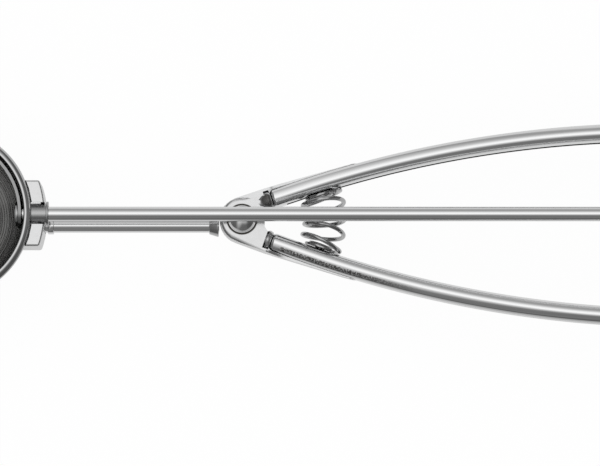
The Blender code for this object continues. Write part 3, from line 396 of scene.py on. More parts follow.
def axis_x(node):
    """How to lie about the node's own axis along X, its two ends there and its radius."""
    low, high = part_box(node)
    middle = (low + high) / 2
    lying = Matrix.Rotation(math.pi / 2, 4, "Y")
    place = Matrix.Translation((0, middle.y, middle.z)) @ lying
    return place, low.x, high.x, (high.z - low.z) / 2


# %% [markdown]
# ## The two rods
# The long shaft and the stem are drawn stainless rod. Drawing pulls the metal through a die and
# leaves faint lines along it, so the noise is stretched along X: 60 lines a metre one way and 9000
# across. The stem lies lower and looks a little brighter than the shaft, so its steel is a paler
# copy of the rod steel: a painted highlight. The shaft's ends show, so they have a wider chamfer,
# which a plain cylinder wouldn't have.

# %% The long shaft and the stem
ROD = {"roughness": 0.07, "grain": (60, 9000, 9000)}
DRAWN = steel("drawn_rod_steel", grey=0.86, **ROD)
# Painted highlight: the same rod steel, painted paler for the stem.
PAINTED_LIGHTER_STEM_STEEL = steel("stem_rod_steel_painted_lighter", grey=0.92, **ROD)

place, start, end, SHAFT_RADIUS = axis_x("shaft")
turned("wiper_shaft", "shaft", rod_profile(SHAFT_RADIUS, start, end), place, DRAWN, edge=0.35)
place, start, end, STEM_RADIUS = axis_x("stem")
turned("bowl_stem", "stem", rod_profile(STEM_RADIUS, start, end), place, PAINTED_LIGHTER_STEM_STEEL)
print("shaft", 2 * SHAFT_RADIUS / MM, "mm thick, stem", 2 * STEM_RADIUS / MM, "mm")

# %% [markdown]
# ## Ring and ferrule
# Where the stem enters the bowl's bracket it passes a pale ring, and where it ends on the handles
# it has a flared ferrule. A torus and a cone would give their outside but not their bore. Both are
# turned here, as rings of one closed profile, and the rod runs through them freely.
#
# Small parts come straight from the lathe with a duller finish, so their steel is darker and
# rougher.

# %% The stem's ring and ferrule
FREE_RUN, FLARE = 0.15 * MM, 0.3 * MM
TURNED = steel("turned_steel", grey=0.45, roughness=0.16, grain=(4000, 500, 500))
RIVETED = steel("rivet_steel", grey=0.60, roughness=0.14, grain=(1500, 1500, 6000))

stem_bore = STEM_RADIUS + FREE_RUN
place, start, end, radius = axis_x("stem_collar")
profile = sleeve_profile(stem_bore, radius, start, end)
# The stem's ring takes the same painted-lighter steel.
turned("stem_ring", "stem_collar", profile, place, PAINTED_LIGHTER_STEM_STEEL, closed=True, edge=0.3)
place, start, end, radius = axis_x("stem_foot")
profile = [(radius, end), (radius, end - FLARE), (stem_bore + FLARE, start)]
profile += [(stem_bore, start), (stem_bore, end)]
turned("stem_ferrule", "stem_foot", profile, place, RIVETED, closed=True)

# %% [markdown]
# ## Two bushes
# The shaft turns in two bushes, one in the bowl's bracket and one in the bearing at the far end.
# Each has a flange that keeps it from being pushed through the sheet. A plain sleeve with a second
# ring beside it would look much the same, but a real bush is one piece, so its profile has one
# step more.

# %% The shaft's two bushes
BORE = SHAFT_RADIUS + FREE_RUN
FLANGE = 0.6 * MM
BOWL_BUSH_RADIUS, FAR_BUSH_RADIUS = 3.1 * MM, 2.85 * MM


def make_bush(name, node, radius):
    place, start, end, flange = axis_x(node)
    seat = end - FLANGE
    profile = [(flange, end), (flange, seat), (radius, seat)]
    profile += [(radius, start), (BORE, start), (BORE, end)]
    turned(name, node, profile, place, TURNED, closed=True)


make_bush("bowl_bush", "shaft_bush", BOWL_BUSH_RADIUS)
make_bush("far_bush", "end_bush", FAR_BUSH_RADIUS)

# %% [markdown]
# ## What holds the blade
# A hub fixes the blade to the shaft, and a pin with a domed head holds its far end in the bowl's
# wall, so the blade turns about one line. Both show inside the bowl, from above. The pin could be
# two cylinders, but then they would cut through each other, so its head and shank are one profile.

# %% The blade's hub and tip pin
PIN_RADIUS, PIN_HEAD = 1.4 * MM, 1.0 * MM

place, start, end, radius = axis_x("wiper_hub")
profile = sleeve_profile(BORE, radius, start, end)
turned("blade_hub", "wiper_hub", profile, place, TURNED, closed=True, edge=0.15)
place, start, end, radius = axis_x("wiper_tip_pin")
profile = [(0, end), (radius, end), (radius, end - PIN_HEAD), (PIN_RADIUS, end - PIN_HEAD)]
profile += [(PIN_RADIUS, start), (0, start)]
turned("blade_pin", "wiper_tip_pin", profile, place, TURNED, edge=0.3)

# %% [markdown]
# ## The pivot rivet
# One headed rivet holds both forks. Its head is a flat dome with a chamfer round it, which shows
# as a bright ring. The dome could be a squashed sphere, but a short arc of a large circle in the
# profile gives the same shape with an even chamfer. The lower half of the profile is the upper
# half mirrored, so that the heads on the two sides are the same.

# %% Turn the rivet
DOME_RADIUS, DOME_EDGE, CHAMFER = 6.0 * MM, 3.4 * MM, 0.34 * MM
HEAD_HEIGHT, SHANK_RADIUS, RIVET_STEPS = 1.1 * MM, 2.5 * MM, 8

low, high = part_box("pivot_rivet")
top = high.z - PIVOT.z
head_radius = (high.x - low.x) / 2
lean = math.degrees(math.asin(DOME_EDGE / DOME_RADIUS))
half = arc_points((0, top - DOME_RADIUS), DOME_RADIUS, 90, 90 - lean, RIVET_STEPS)
half[0] = (0, top)
ring = half[-1][1]
seat = top - HEAD_HEIGHT
half += [(head_radius - CHAMFER, ring), (head_radius, ring - CHAMFER), (head_radius, seat)]
half += [(SHANK_RADIUS, seat)]
profile = half + [(radius, -height) for radius, height in reversed(half)]
turned("rivet", "pivot_rivet", profile, Matrix.Translation(PIVOT), RIVETED, edge=0.05)
print("rivet head", 2 * head_radius / MM, "mm across")


# %% [markdown]
# ## The bowl's steel
# The bowl is spun: a disc of sheet is pressed over a turning form, which leaves fine rings all
# round. Outside it is polished bright. Inside it has slow waves and gets duller from the
# bottom up to the collar, and its steel is painted darker there: painted shade for the hollow.
# Two materials would need the mesh to be parted along the rim. One does both here: the distance
# from the middle of the bowl tells the inner wall from the outer one, and the change lies within
# the sheet's thickness.

# %% Bright outside, dull inside
INNER, WALL = 22.6 * MM, 0.8 * MM
INSIDE_SHADE_EDGE = (INNER + 0.25 * WALL, INNER + 0.625 * WALL)  # where the inner steel becomes the outer
# Painted shade: the inner wall's grey, darker and a little yellower than the outer steel.
INSIDE_SHADE_GREY, INSIDE_SHADE_YELLOW, INSIDE_DULLER = 0.42, 0.99, 0.16
DULL_FROM, DULL_TO, LEAST_DULL = -9 * MM, -2 * MM, 0.25
WAVES, WAVE_DETAIL, WAVE_STRENGTH, WAVE_DEPTH = 420.0, 1.0, 1.0, 0.10 * MM


# Paints shade on the inner wall, and makes it duller and wavy.
def shade_and_waves_inside(wire, look):
    place = seen_from(wire, BOWL)
    out = wire.node("ShaderNodeVectorMath", {"operation": "LENGTH"}, {0: place}, output=1)
    outside = fade(wire, out, *INSIDE_SHADE_EDGE)
    # Painted shade on the inner wall.
    inside_shade = (INSIDE_SHADE_GREY, INSIDE_SHADE_GREY, INSIDE_SHADE_GREY * INSIDE_SHADE_YELLOW, 1)
    look["Base Color"] = mix(wire, outside, inside_shade, look["Base Color"])
    height = one_axis(wire, place, "Z")
    upwards = fade(wire, height, DULL_FROM, DULL_TO, low=LEAST_DULL)
    look["Roughness"] = look["Roughness"] + (1 - outside) * upwards * INSIDE_DULLER
    sockets = {"W": height * WAVES, "Detail": WAVE_DETAIL}
    waves = wire.node("ShaderNodeTexNoise", {"noise_dimensions": "1D"}, sockets)
    look["Normal"] = bump(wire, waves, WAVE_STRENGTH, WAVE_DEPTH, under=look["Normal"])


RINGS = {"grain": (300, 300, 5000), "centre": BOWL, "extra": shade_and_waves_inside}
SPUN = steel("spun_bowl_steel", grey=0.60, roughness=0.07, **RINGS)

# %% [markdown]
# ## The bowl
# The bowl is a hemisphere with a short straight collar, and its rim is rolled outwards so that it
# is stiff and doesn't cut. Half of a sphere would be easy to make, but its rim would be a bare
# edge. One profile takes in the inner wall, the rolled rim and the outer wall, so the sheet has
# its real thickness everywhere.

# %% The bowl's profile
RIM_TOP, RIM_RADIUS = 4.59 * MM, 24.75 * MM
LIP, ROLL, CURL = 0.35 * MM, 1.8 * MM, 0.45 * MM
UNDER_CURL = 4  # degrees that the outer wall goes up past the bowl's middle
WALL_STEPS, ROLL_STEPS, SMALL_STEPS = 40, 16, 6

bowl_profile = arc_points((0, 0), INNER, -90, 0, WALL_STEPS)
bowl_profile += arc_points((INNER + LIP, RIM_TOP - LIP), LIP, 180, 90, SMALL_STEPS)
bowl_profile += arc_points((RIM_RADIUS - ROLL, RIM_TOP - ROLL), ROLL, 90, 0, ROLL_STEPS)
bowl_profile += arc_points((RIM_RADIUS - CURL, RIM_TOP - ROLL), CURL, 0, -90, SMALL_STEPS)
bowl_profile += arc_points((0, 0), INNER + WALL, UNDER_CURL, -90, WALL_STEPS)
print("rim", 2 * RIM_RADIUS / MM, "mm across,", len(bowl_profile), "points in the profile")

# %% [markdown]
# ## Two holes in the bowl
# The shaft's bush goes through the wall on one side and the blade's pin on the other. A hole in a
# curved wall can't come from the profile, and deleting faces would leave it ragged. So it is
# drilled: the Boolean modifier takes a cylinder away from the bowl, and its result is read back
# into a mesh.

# %% Drill a mesh
BOWL_STEPS = 128
HOLE_GAP = 0.1 * MM


def plain_object(name, shape):
    mesh = bpy.data.meshes.new(name)
    shape.to_mesh(mesh)
    shape.free()
    made = bpy.data.objects.new(name, mesh)
    bpy.context.scene.collection.objects.link(made)
    return made


def mesh_as_seen(made):
    """A bmesh of an object with its modifiers applied. The object is removed."""
    seen = made.evaluated_get(bpy.context.evaluated_depsgraph_get())
    mesh = bpy.data.meshes.new_from_object(seen)
    bpy.data.objects.remove(made)
    shape = bmesh.new()
    shape.from_mesh(mesh)
    return shape


def drill(shape, radius, start, end):
    """Takes a cylinder along X away from a shape that is centred on the origin."""
    bit = spun_shape(rod_profile(radius, start, end), False, SPIN_STEPS)
    bit.transform(Matrix.Rotation(math.pi / 2, 4, "Y"))
    blank, cutter = plain_object("blank", shape), plain_object("bit", bit)
    cut = blank.modifiers.new("cut", "BOOLEAN")
    cut.object = cutter
    cut.operation = "DIFFERENCE"
    left = mesh_as_seen(blank)
    bpy.data.objects.remove(cutter)
    return left


# %% [markdown]
# ## Making the bowl
# The bowl is spun in twice the steps of other turned pieces, because its rim is the largest circle
# in view and would show its corners. Each hole is a tenth of a millimetre wider all round than
# what passes through it.

# %% Spin and drill the bowl
reach = INNER + 2 * WALL
bowl = spun_shape(bowl_profile, False, BOWL_STEPS)
whole = len(bowl.faces)
bowl = drill(bowl, BOWL_BUSH_RADIUS + HOLE_GAP, INNER / 2, reach)
bowl = drill(bowl, PIN_RADIUS + HOLE_GAP, -reach, -INNER / 2)
print("faces before the drill", whole, "and after", len(bowl.faces))
bowl.transform(Matrix.Translation(BOWL))
fit_piece("scoop_bowl", bowl, SPUN, "bowl")


# %% [markdown]
# ## The section of a handle
# Each handle is rolled from sheet into a flattened tube that is open along its inner side, where
# the palm doesn't feel it. Its section could be typed in as a list of points, but a circle that is
# pulled apart into an oval gives it with two numbers. Two more points on the inner side mark the
# slot's lips, so that the slot can later be opened along whole rows of faces.

# %% Draw the section
HALF_THICK, HALF_DEEP = 2.6 * MM, 4.8 * MM
HALF_SLOT = 1.7 * MM
SECTION_POINTS = 32


def draw_section(shape):
    half_step = Matrix.Rotation(math.pi / SECTION_POINTS, 4, "Z")
    turn = Matrix.Rotation(math.pi / 2, 4, "Y") @ half_step
    made = bmesh.ops.create_circle(
        shape, segments=SECTION_POINTS, radius=HALF_THICK, matrix=turn
    )
    for vert in made["verts"]:
        vert.co.z += math.copysign(HALF_DEEP - HALF_THICK, vert.co.z)
    inner = min(shape.edges, key=lambda edge: edge.verts[0].co.y + edge.verts[1].co.y)
    added = bmesh.ops.subdivide_edges(shape, edges=[inner], cuts=2)["geom_inner"]
    for vert in [item for item in added if isinstance(item, bmesh.types.BMVert)]:
        vert.co.z = math.copysign(HALF_SLOT, vert.co.z)


# %% [markdown]
# ## Sweeping a handle
# A handle leaves the rivet straight and then follows one long curve. A curve object with the
# section as its bevel would do that too, but its section can't taper off at the end. So the
# section is spun about the centre of the long curve, then drawn out straight to the root.

# %% Sweep the section along the handle
OFFSET, START, STRAIGHT_END = 3.0 * MM, 9.3 * MM, 18.65 * MM
CURVE_RADIUS, SWEEP, SWEEP_STEPS = 330 * MM, math.radians(20), 56


def sweep_curve(shape):
    """Spins the section round the long curve and gives the loop at its near end."""
    bmesh.ops.translate(shape, verts=shape.verts, vec=(STRAIGHT_END, OFFSET, 0))
    near_end = list(shape.edges)
    bmesh.ops.spin(
        shape,
        geom=list(shape.verts) + near_end,
        cent=(STRAIGHT_END, OFFSET - CURVE_RADIUS, 0),
        axis=(0, 0, -1),
        angle=SWEEP,
        steps=SWEEP_STEPS,
        use_duplicate=False,
    )
    return [edge for edge in near_end if edge.is_valid]


def draw_out(shape, loop, station):
    """Extrudes a loop of edges to a station along X. Gives the new loop and its points."""
    step = station - loop[0].verts[0].co.x
    made = bmesh.ops.extrude_edge_only(shape, edges=loop)["geom"]
    verts = {item for item in made if isinstance(item, bmesh.types.BMVert)}
    bmesh.ops.translate(shape, verts=list(verts), vec=(step, 0, 0))
    edges = [item for item in made if isinstance(item, bmesh.types.BMEdge)]
    return [edge for edge in edges if verts.issuperset(edge.verts)], list(verts)


# %% [markdown]
# ## The handle's rounded root
# The tube is closed at the root, and the closed end is domed. Drawing the loop out again and
# again, each time a little smaller, follows most of a quarter of a circle, and the last small loop
# gets one face. A ready-made half sphere would have to be matched to the tube's oval point by
# point.

# %% Close the root with a dome
DOME, DOME_STEPS, DOME_TURN = 1.7 * MM, 8, 70


def close_root(shape, loop):
    middle = Matrix.Translation((0, OFFSET, 0)).inverted()
    size = 1.0
    for i in range(1, DOME_STEPS + 1):
        angle = math.radians(90 - DOME_TURN * i / DOME_STEPS)
        loop, verts = draw_out(shape, loop, START + DOME * (1 - math.cos(angle)))
        shrink = math.sin(angle) / size
        bmesh.ops.scale(shape, verts=verts, vec=(1, shrink, shrink), space=middle)
        size = math.sin(angle)
    bmesh.ops.contextual_create(shape, geom=loop)


# %% [markdown]
# ## The open slot
# A rolled handle isn't a closed tube, because its edges don't meet on the inner side. A Boolean
# could cut the slot, but it would leave long thin faces. The section has a point at each of the
# slot's lips, so the slot is exactly the rows of faces between them, and these are deleted. The
# root stays closed.

# %% Open the slot along the inner side
CLOSED_ROOT, HAIR = 4.5 * MM, 0.001 * MM
SLOT_START = START + CLOSED_ROOT


def on_inner_side(face):
    centre = face.calc_center_median()
    if centre.x <= STRAIGHT_END:
        return centre.y < OFFSET
    out = math.hypot(centre.x - STRAIGHT_END, centre.y - OFFSET + CURVE_RADIUS)
    return out < CURVE_RADIUS


def open_slot(shape):
    faces = [
        face
        for face in shape.faces
        if face.calc_center_median().x > SLOT_START
        and all(abs(vert.co.z) < HALF_SLOT + HAIR for vert in face.verts)
        and on_inner_side(face)
    ]
    bmesh.ops.delete(shape, geom=faces, context="FACES")
    return len(faces)


# %% [markdown]
# ## The speckled weld
# On the fixed handle the fork's tongue is welded to the handle's back. Heat has left a dark,
# speckled band beside it, which starts near the root and fades out along the handle. It could be
# painted on an image, but that needs a UV map. Here it is a mask: one soft step on each side of
# it, across the handle, and one at each end. It follows the handle's bend, because the mask bends
# by the square of the distance past the straight part.

# %% Rolled steel, and the weld's dark band
ROOT_ANGLE, LEAN = math.radians(19), math.radians(-0.64)
MEAN_TURN = math.radians(10)  # of a handle's long curve, from the shaft's line
WELD_DARK, WELD_SHARE, WELD_DULLER = (0.10, 0.095, 0.09, 1), 0.92, 0.25

# Each soft step goes from where nothing shows to where the band is full.
BAND_INSIDE, BAND_OUTSIDE = (0.55 * MM, 0.95 * MM), (2.25 * MM, 1.7 * MM)
BAND_ROOT, BAND_FAR_END = (12 * MM, 14 * MM), (58 * MM, 36 * MM)
SPECKLE_SCALE, SPECKLE_DETAIL, SPECKLE_STEP = 2400.0, 2.0, (0.38, 0.56)


def weld_band(wire, look):
    place = seen_from(wire, PIVOT, LEAN - ROOT_ANGLE)
    along, across = one_axis(wire, place, "X"), one_axis(wire, place, "Y")
    past = wire.maths("MAXIMUM", along - STRAIGHT_END, 0.0)
    out = past * past / (2 * CURVE_RADIUS) - across - OFFSET
    band = fade(wire, out, *BAND_INSIDE) * fade(wire, out, *BAND_OUTSIDE)
    band = band * fade(wire, along, *BAND_ROOT) * fade(wire, along, *BAND_FAR_END)
    grain = noise(wire, on_piece(wire), SPECKLE_DETAIL, SPECKLE_SCALE)
    stain = band * fade(wire, grain, *SPECKLE_STEP)
    look["Base Color"] = mix(wire, stain * WELD_SHARE, look["Base Color"], WELD_DARK)
    look["Roughness"] = look["Roughness"] + stain * WELD_DULLER


ROLLED = {"grey": 0.87, "roughness": 0.07, "grain": (60, 7000, 7000)}
ROLLED_UPPER = steel("upper_handle_steel", **ROLLED, turn=MEAN_TURN)
ROLLED_LOWER = steel("lower_handle_steel", **ROLLED, turn=-MEAN_TURN, extra=weld_band)

# %% [markdown]
# ## Making the two handles
# The shell gets its thickness at the end, when its slot is open and its faces point outwards, so
# the sheet grows inwards all round. The fixed handle is the same shape mirrored. A Mirror modifier
# would make the two one piece, but only one of them moves, so each is made on its own. Mirroring
# turns the faces inside out, so they are put right before the thickness is added.

# %% Make a handle
SHEET = 0.8 * MM


def make_handle(name, node, side, finish):
    shape = bmesh.new()
    draw_section(shape)
    loop = sweep_curve(shape)
    for station in (SLOT_START, START + DOME):
        loop = draw_out(shape, loop, station)[0]
    close_root(shape, loop)
    opened = open_slot(shape)
    bmesh.ops.scale(shape, verts=shape.verts, vec=(1, side, 1))
    bmesh.ops.recalc_face_normals(shape, faces=shape.faces)
    bmesh.ops.solidify(shape, geom=list(shape.faces), thickness=SHEET)
    turn = Matrix.Rotation(side * ROOT_ANGLE + LEAN, 4, "Z")
    shape.transform(Matrix.Translation(PIVOT) @ turn)
    print("slot opened over", opened, "faces")
    return fit_piece(name, shape, finish, node)


make_handle("moving_grip", "upper_handle", 1, ROLLED_UPPER)
make_handle("fixed_grip", "lower_handle", -1, ROLLED_LOWER)


# %% [markdown]
# ## The spring's line
# The spring is round wire on a fan of turns. Its ends lie flat on the two handles, so the turns
# are open on the outside of the bend and close together on the inside. A Screw modifier makes only
# an even spring, so each point is worked out: how far round it is, how far its turn is tipped
# over, and how far it is lifted towards the moving handle.
#
# The lift is there because a spring that is pressed between slanting handles arches. Its wires
# stand highest at the front, where the bowl opens, and lowest at the back. The lift grows quickly
# from the wire's lower end and dies away before its upper one.

# %% Where the wire runs
WIRE_RADIUS, COIL_RADIUS, STATION = 0.65 * MM, 5.85 * MM, 23.8 * MM
TURNS, FLAT_TURNS, WIRE_GAP = 4.25, 0.25, 0.3 * MM

# The wire's ends run this far inside each handle's line through the rivet.
SINK = WIRE_GAP + WIRE_RADIUS - (OFFSET - HALF_THICK)
FAN_CENTRE = SINK / math.sin(ROOT_ANGLE)
FAN_RADIUS = STATION - FAN_CENTRE * math.cos(ROOT_ANGLE)

MEAN_LIFT, FAR_LIFT, FRONT_LIFT, SIDE_LIFT = 0.85, 0.15, 0.75, 0.25  # mm
LOW_RISE, HIGH_FALL = 0.35, 0.6  # powers, and the smaller one is the quicker


def spring_point(turns):
    climb = min(1, max(0, (turns - FLAT_TURNS) / (TURNS - 2 * FLAT_TURNS)))
    tilt = ROOT_ANGLE * (2 * climb - 1)
    phase = math.tau * turns - math.pi * FLAT_TURNS
    far, front = math.cos(phase), math.sin(phase)
    out = FAN_RADIUS + COIL_RADIUS * far
    lift = MEAN_LIFT + FAR_LIFT * far + FRONT_LIFT * front + SIDE_LIFT * front**2
    low_end = math.sin(math.pi * min(turns / TURNS, 0.5)) ** LOW_RISE
    high_end = max(0, math.sin(math.pi * max(climb, 0.5))) ** HIGH_FALL
    arch = low_end * high_end * lift * MM
    return (FAN_CENTRE + out * math.cos(tilt), out * math.sin(tilt) + arch, COIL_RADIUS * front)


print("the turns fan out", FAN_RADIUS / MM, "mm from their centre")

# %% [markdown]
# ## The spring's wire
# A curve with a round bevel turns a line into wire without any care for twist. It is then made a
# mesh.

# %% Bend the wire
POINTS_A_TURN, WIRE_ROUNDNESS = 40, 6
WIRE_STEEL = steel("spring_wire_steel", grey=0.50, roughness=0.07, grain=(2500, 2500, 2500))

curve = bpy.data.curves.new("coil", "CURVE")
curve.dimensions = "3D"
curve.bevel_depth = WIRE_RADIUS
curve.bevel_resolution = WIRE_ROUNDNESS
curve.use_fill_caps = True
count = round(TURNS * POINTS_A_TURN)
spline = curve.splines.new("POLY")
spline.points.add(count)
for i in range(count + 1):
    spline.points[i].co = (*spring_point(TURNS * i / count), 1)
coil = bpy.data.objects.new("coil", curve)
bpy.context.scene.collection.objects.link(coil)
print("wire of", count, "straight bits")

# %% [markdown]
# ## Placing the spring
# A rigid spring would run into the handles when they close. Here the wire is read back as a mesh,
# laid at the rivet and shown in place of the spring node, on neither handle's body.

# %% Lay the spring at the rivet
shape = mesh_as_seen(coil)
shape.transform(Matrix.Translation(PIVOT) @ Matrix.Rotation(LEAN, 4, "Z"))
spring = show_piece("return_coil", shape, WIRE_STEEL)
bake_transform(spring)
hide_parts("return_spring")


# %% [markdown]
# ## Pressed and cut pieces
# The bracket, the forks, the blade, the rack and the far bearing are cut and folded from sheet.
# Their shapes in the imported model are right, but their edges are knife sharp. A copy of each mesh
# is merged, because a node's mesh is loose triangles. Lines across flat faces are dissolved, and
# then the edges are rounded. The node's own mesh is never touched.

# %% Round the edges of a node's copy
MERGE, FLAT_TURN = 2e-6, math.radians(0.8)


def refine(name, node, finish, radius, before=None):
    """Radius is how far the edges are rounded, in mm. Before changes the shape ahead of that."""
    shape = bmesh.new()
    shape.from_mesh(frame["nodes"][node].data)
    loose = len(shape.verts)
    bmesh.ops.remove_doubles(shape, verts=shape.verts, dist=MERGE)
    bmesh.ops.dissolve_limit(
        shape, angle_limit=FLAT_TURN, verts=shape.verts, edges=shape.edges
    )
    print(node, loose, "points merged to", len(shape.verts))
    if before:
        before(shape)
    round_sharp_edges(shape, radius * MM, SHEET_CORNER)
    return fit_piece(name, shape, finish, node)


# %% [markdown]
# ## The tongues on the handles' backs
# Each fork ends in a tongue that is welded to its handle's back and ground down until it runs out
# into it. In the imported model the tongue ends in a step. Cutting it with a slanting block would
# give a flat slope, but the handle's back is bent. So the last stretch is thinned instead: each of
# its points moves towards the handle's back, the more the nearer it is to the end.

# %% Grind a tongue down
TAPER, LEFT_AT_END, BACK = 9 * MM, 0.2, HALF_THICK + FREE_RUN


def grind_tongue(shape, side):
    root = Matrix.Translation(PIVOT) @ Matrix.Rotation(side * ROOT_ANGLE + LEAN, 4, "Z")
    shape.transform(root.inverted())
    end = max(vert.co.x for vert in shape.verts)
    centre = Vector((STRAIGHT_END, side * (OFFSET - CURVE_RADIUS), 0))
    ground = [vert for vert in shape.verts if vert.co.x > end - TAPER]
    for vert in ground:
        share = (vert.co.x - end + TAPER) / TAPER
        outwards = (vert.co - centre) * Vector((1, 1, 0))
        above = outwards.length - CURVE_RADIUS - BACK
        vert.co -= outwards.normalized() * above * share * (1 - LEFT_AT_END)
    shape.transform(root)
    print("tongue ends", end / MM, "mm from the rivet,", len(ground), "points ground down")


# %% [markdown]
# ## Painted shade in the corners of the forks
# The steel is painted darker in two places where shade falls: in a thin ring round the rivet's
# head, where it sits on the fork, and on the step where the inner fork widens to take its handle.
# This is painted shade. Ambient occlusion would darken every corner, the clean ones too. So each
# place has a mask of soft steps, measured from the rivet, which makes the steel darker and rougher
# there.

# %% Two steels for the forks
# Painted shade: the dark colour, and the extra roughness, laid on the corners of the forks.
PAINTED_SHADE, PAINTED_SHADE_DULLER = (0.07, 0.066, 0.06, 1), 0.3
RING_EDGE, RING_FULL = 0.6 * MM, 0.35 * MM  # from the rivet's head outwards
CHEEK_TOP, STEP_HEIGHT = 3.9 * MM, 0.3 * MM  # of the inner fork, from the rivet's middle
STEP_END, STEP_SHARE = (10.1 * MM, 9.4 * MM), 0.85


# Mixes painted shade into the steel, as far as the mask goes.
def paint_shade(wire, look, share):
    look["Base Color"] = mix(wire, share, look["Base Color"], PAINTED_SHADE)
    look["Roughness"] = look["Roughness"] + share * PAINTED_SHADE_DULLER


# Painted shade in a thin ring on the fork, round the rivet's head.
def painted_shade_round_rivet(wire, look):
    place = seen_from(wire, PIVOT)
    across, along = one_axis(wire, place, "X"), one_axis(wire, place, "Y")
    out = wire.maths("SQRT", across * across + along * along)
    paint_shade(wire, look, fade(wire, out, head_radius + RING_EDGE, head_radius + RING_FULL))


# Painted shade on the step where the inner fork widens to take its handle.
def painted_shade_on_step(wire, look):
    place = seen_from(wire, PIVOT, LEAN + ROOT_ANGLE)
    along, up = one_axis(wire, place, "X"), one_axis(wire, place, "Z")
    step = fade(wire, wire.maths("ABSOLUTE", up), CHEEK_TOP, CHEEK_TOP + STEP_HEIGHT)
    paint_shade(wire, look, step * fade(wire, along, *STEP_END) * STEP_SHARE)


SATIN = {"grey": 0.70, "roughness": 0.22, "grain": (900, 900, 900), "depth": 0.02}
# Each fork's steel carries one of the two patches of painted shade.
OUTER_FORK = steel("outer_fork_steel", **SATIN, extra=painted_shade_round_rivet)
INNER_FORK = steel("inner_fork_steel", **SATIN, extra=painted_shade_on_step)

# %% [markdown]
# ## Bracket, forks and blade
# Pressing stretches the skin of the sheet, and polishing afterwards leaves a faint orange peel. A
# voronoi pattern would be too regular for that, so it is a noise that is the same in all
# directions. The blade is darker: it is thin spring strip, and its steel is also painted darker
# as a painted reflection of the dark inside of the bowl.

# %% The pieces round the bowl and the rivet
THICK_EDGE, THIN_EDGE, CUP_EDGE, SMALL_EDGE = 0.15, 0.12, 0.10, 0.08  # mm
PRESSED = steel("pressed_sheet_steel", **SATIN)
# Partly painted reflection: the blade's grey is darkened for the bowl's dark inside that it shows.
BLADE = steel("blade_steel", grey=0.32, roughness=0.14, grain=(300, 3000, 300))

refine("bowl_carrier", "bowl_bracket", PRESSED, THICK_EDGE)
refine("outer_fork", "lower_clevis", OUTER_FORK, THIN_EDGE, lambda fork: grind_tongue(fork, -1))
refine("inner_fork", "upper_clevis", INNER_FORK, THIN_EDGE, lambda fork: grind_tongue(fork, 1))
refine("blade", "wiper_blade", BLADE, THIN_EDGE)
refine("lower_cup", "lower_spring_cup", TURNED, CUP_EDGE)
refine("upper_cup", "upper_spring_cup", TURNED, CUP_EDGE)

# %% [markdown]
# ## The works at the far end
# Beyond the photograph's edge the moving handle's rack drives the pinion on the shaft. The rack,
# its guide and the bearing bracket are stamped strip with the grain of rolling, which runs along Y
# here. The pinion and all the rivets are turned. They could be made again, as the other turned
# pieces are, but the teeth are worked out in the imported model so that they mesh, and are better
# kept.

# %% The rack, the pinion and what holds them
STRIP = steel("strip_steel", grey=0.66, roughness=0.20, grain=(3000, 300, 3000))

refine("toothed_rack", "rack", STRIP, THICK_EDGE)
refine("pinion_gear", "pinion", TURNED, SMALL_EDGE)
refine("far_bracket", "bearing_bracket", STRIP, THICK_EDGE)
refine("guide_strap", "rack_guide", STRIP, THICK_EDGE)
for name, node in (
    ("gear_pin", "pinion_pin"),
    ("rack_stud_1", "rack_rivet_1"),
    ("rack_stud_2", "rack_rivet_2"),
    ("bracket_stud_1", "bearing_rivet_1"),
    ("bracket_stud_2", "bearing_rivet_2"),
    ("pivot_spacer", "pivot_sleeve"),
):
    refine(name, node, TURNED, SMALL_EDGE)


# %% [markdown]
# ## The white floor
# The scoop lies on a white sheet. To the camera the sheet is almost pure white, so it is mixed
# with a white glow on camera rays, and the rest of the mix keeps the soft shadow under the scoop.
# Lamps strong enough to bleach the sheet would bleach the steel too. To the steel, on glossy rays,
# the sheet is a strip of light that falls off on both sides, as it does in a small light tent.

# %% Helpers for light
def light_path(wire, kind):
    return wire.node("ShaderNodeLightPath", output=kind)


def glow(wire, colour):
    return wire.node("ShaderNodeEmission", None, {"Color": colour, "Strength": 1.0})


def mix_shader(wire, factor, first, second):
    return wire.node("ShaderNodeMixShader", None, {0: factor, 1: first, 2: second})


# %% Paint the floor
PAPER_GREY, PAPER_ROUGHNESS = 0.93, 0.9
CAMERA_GLOW, STRIP_WIDTH = 0.95, 0.4

# Each stop is a place across the strip, from 0 to 1, and its brightness.
SHEET_STOPS = [(0.0, 0.10), (0.20, 0.12), (0.36, 0.45), (0.47, 0.72), (0.55, 0.72), (1.0, 0.66)]
WHITE = (1, 1, 1, 1)


def floor_material():
    material, wire = start_material("white_floor")
    nodes = wire.tree.nodes
    paper = nodes["Principled BSDF"]
    paper.inputs["Base Color"].default_value = (PAPER_GREY, PAPER_GREY, PAPER_GREY, 1)
    paper.inputs["Roughness"].default_value = PAPER_ROUGHNESS
    across = one_axis(wire, on_piece(wire), "Y")
    sockets = {"Fac": across / STRIP_WIDTH + 0.5}
    strip = wire.node("ShaderNodeValToRGB", {"stops": SHEET_STOPS}, sockets)
    camera_share = light_path(wire, "Is Camera Ray") * CAMERA_GLOW
    seen = mix_shader(wire, camera_share, Wire(wire.tree, paper.outputs[0]), glow(wire, WHITE))
    result = mix_shader(wire, light_path(wire, "Is Glossy Ray"), seen, glow(wire, strip))
    wire.tree.links.new(result.socket, nodes["Material Output"].inputs["Surface"])
    return material


# %% Lay the floor
HALF_FLOOR, FLOOR_GAP = 2.5, 0.2 * MM

shape = bmesh.new()
bmesh.ops.create_grid(shape, x_segments=1, y_segments=1, size=HALF_FLOOR)
shape.transform(Matrix.Translation((0, 0, -FLOOR_GAP)))
floor = plain_object("floor", shape)
floor.data.materials.append(floor_material())
print("floor", 2 * HALF_FLOOR, "m wide,", FLOOR_GAP / MM, "mm under the bowl")

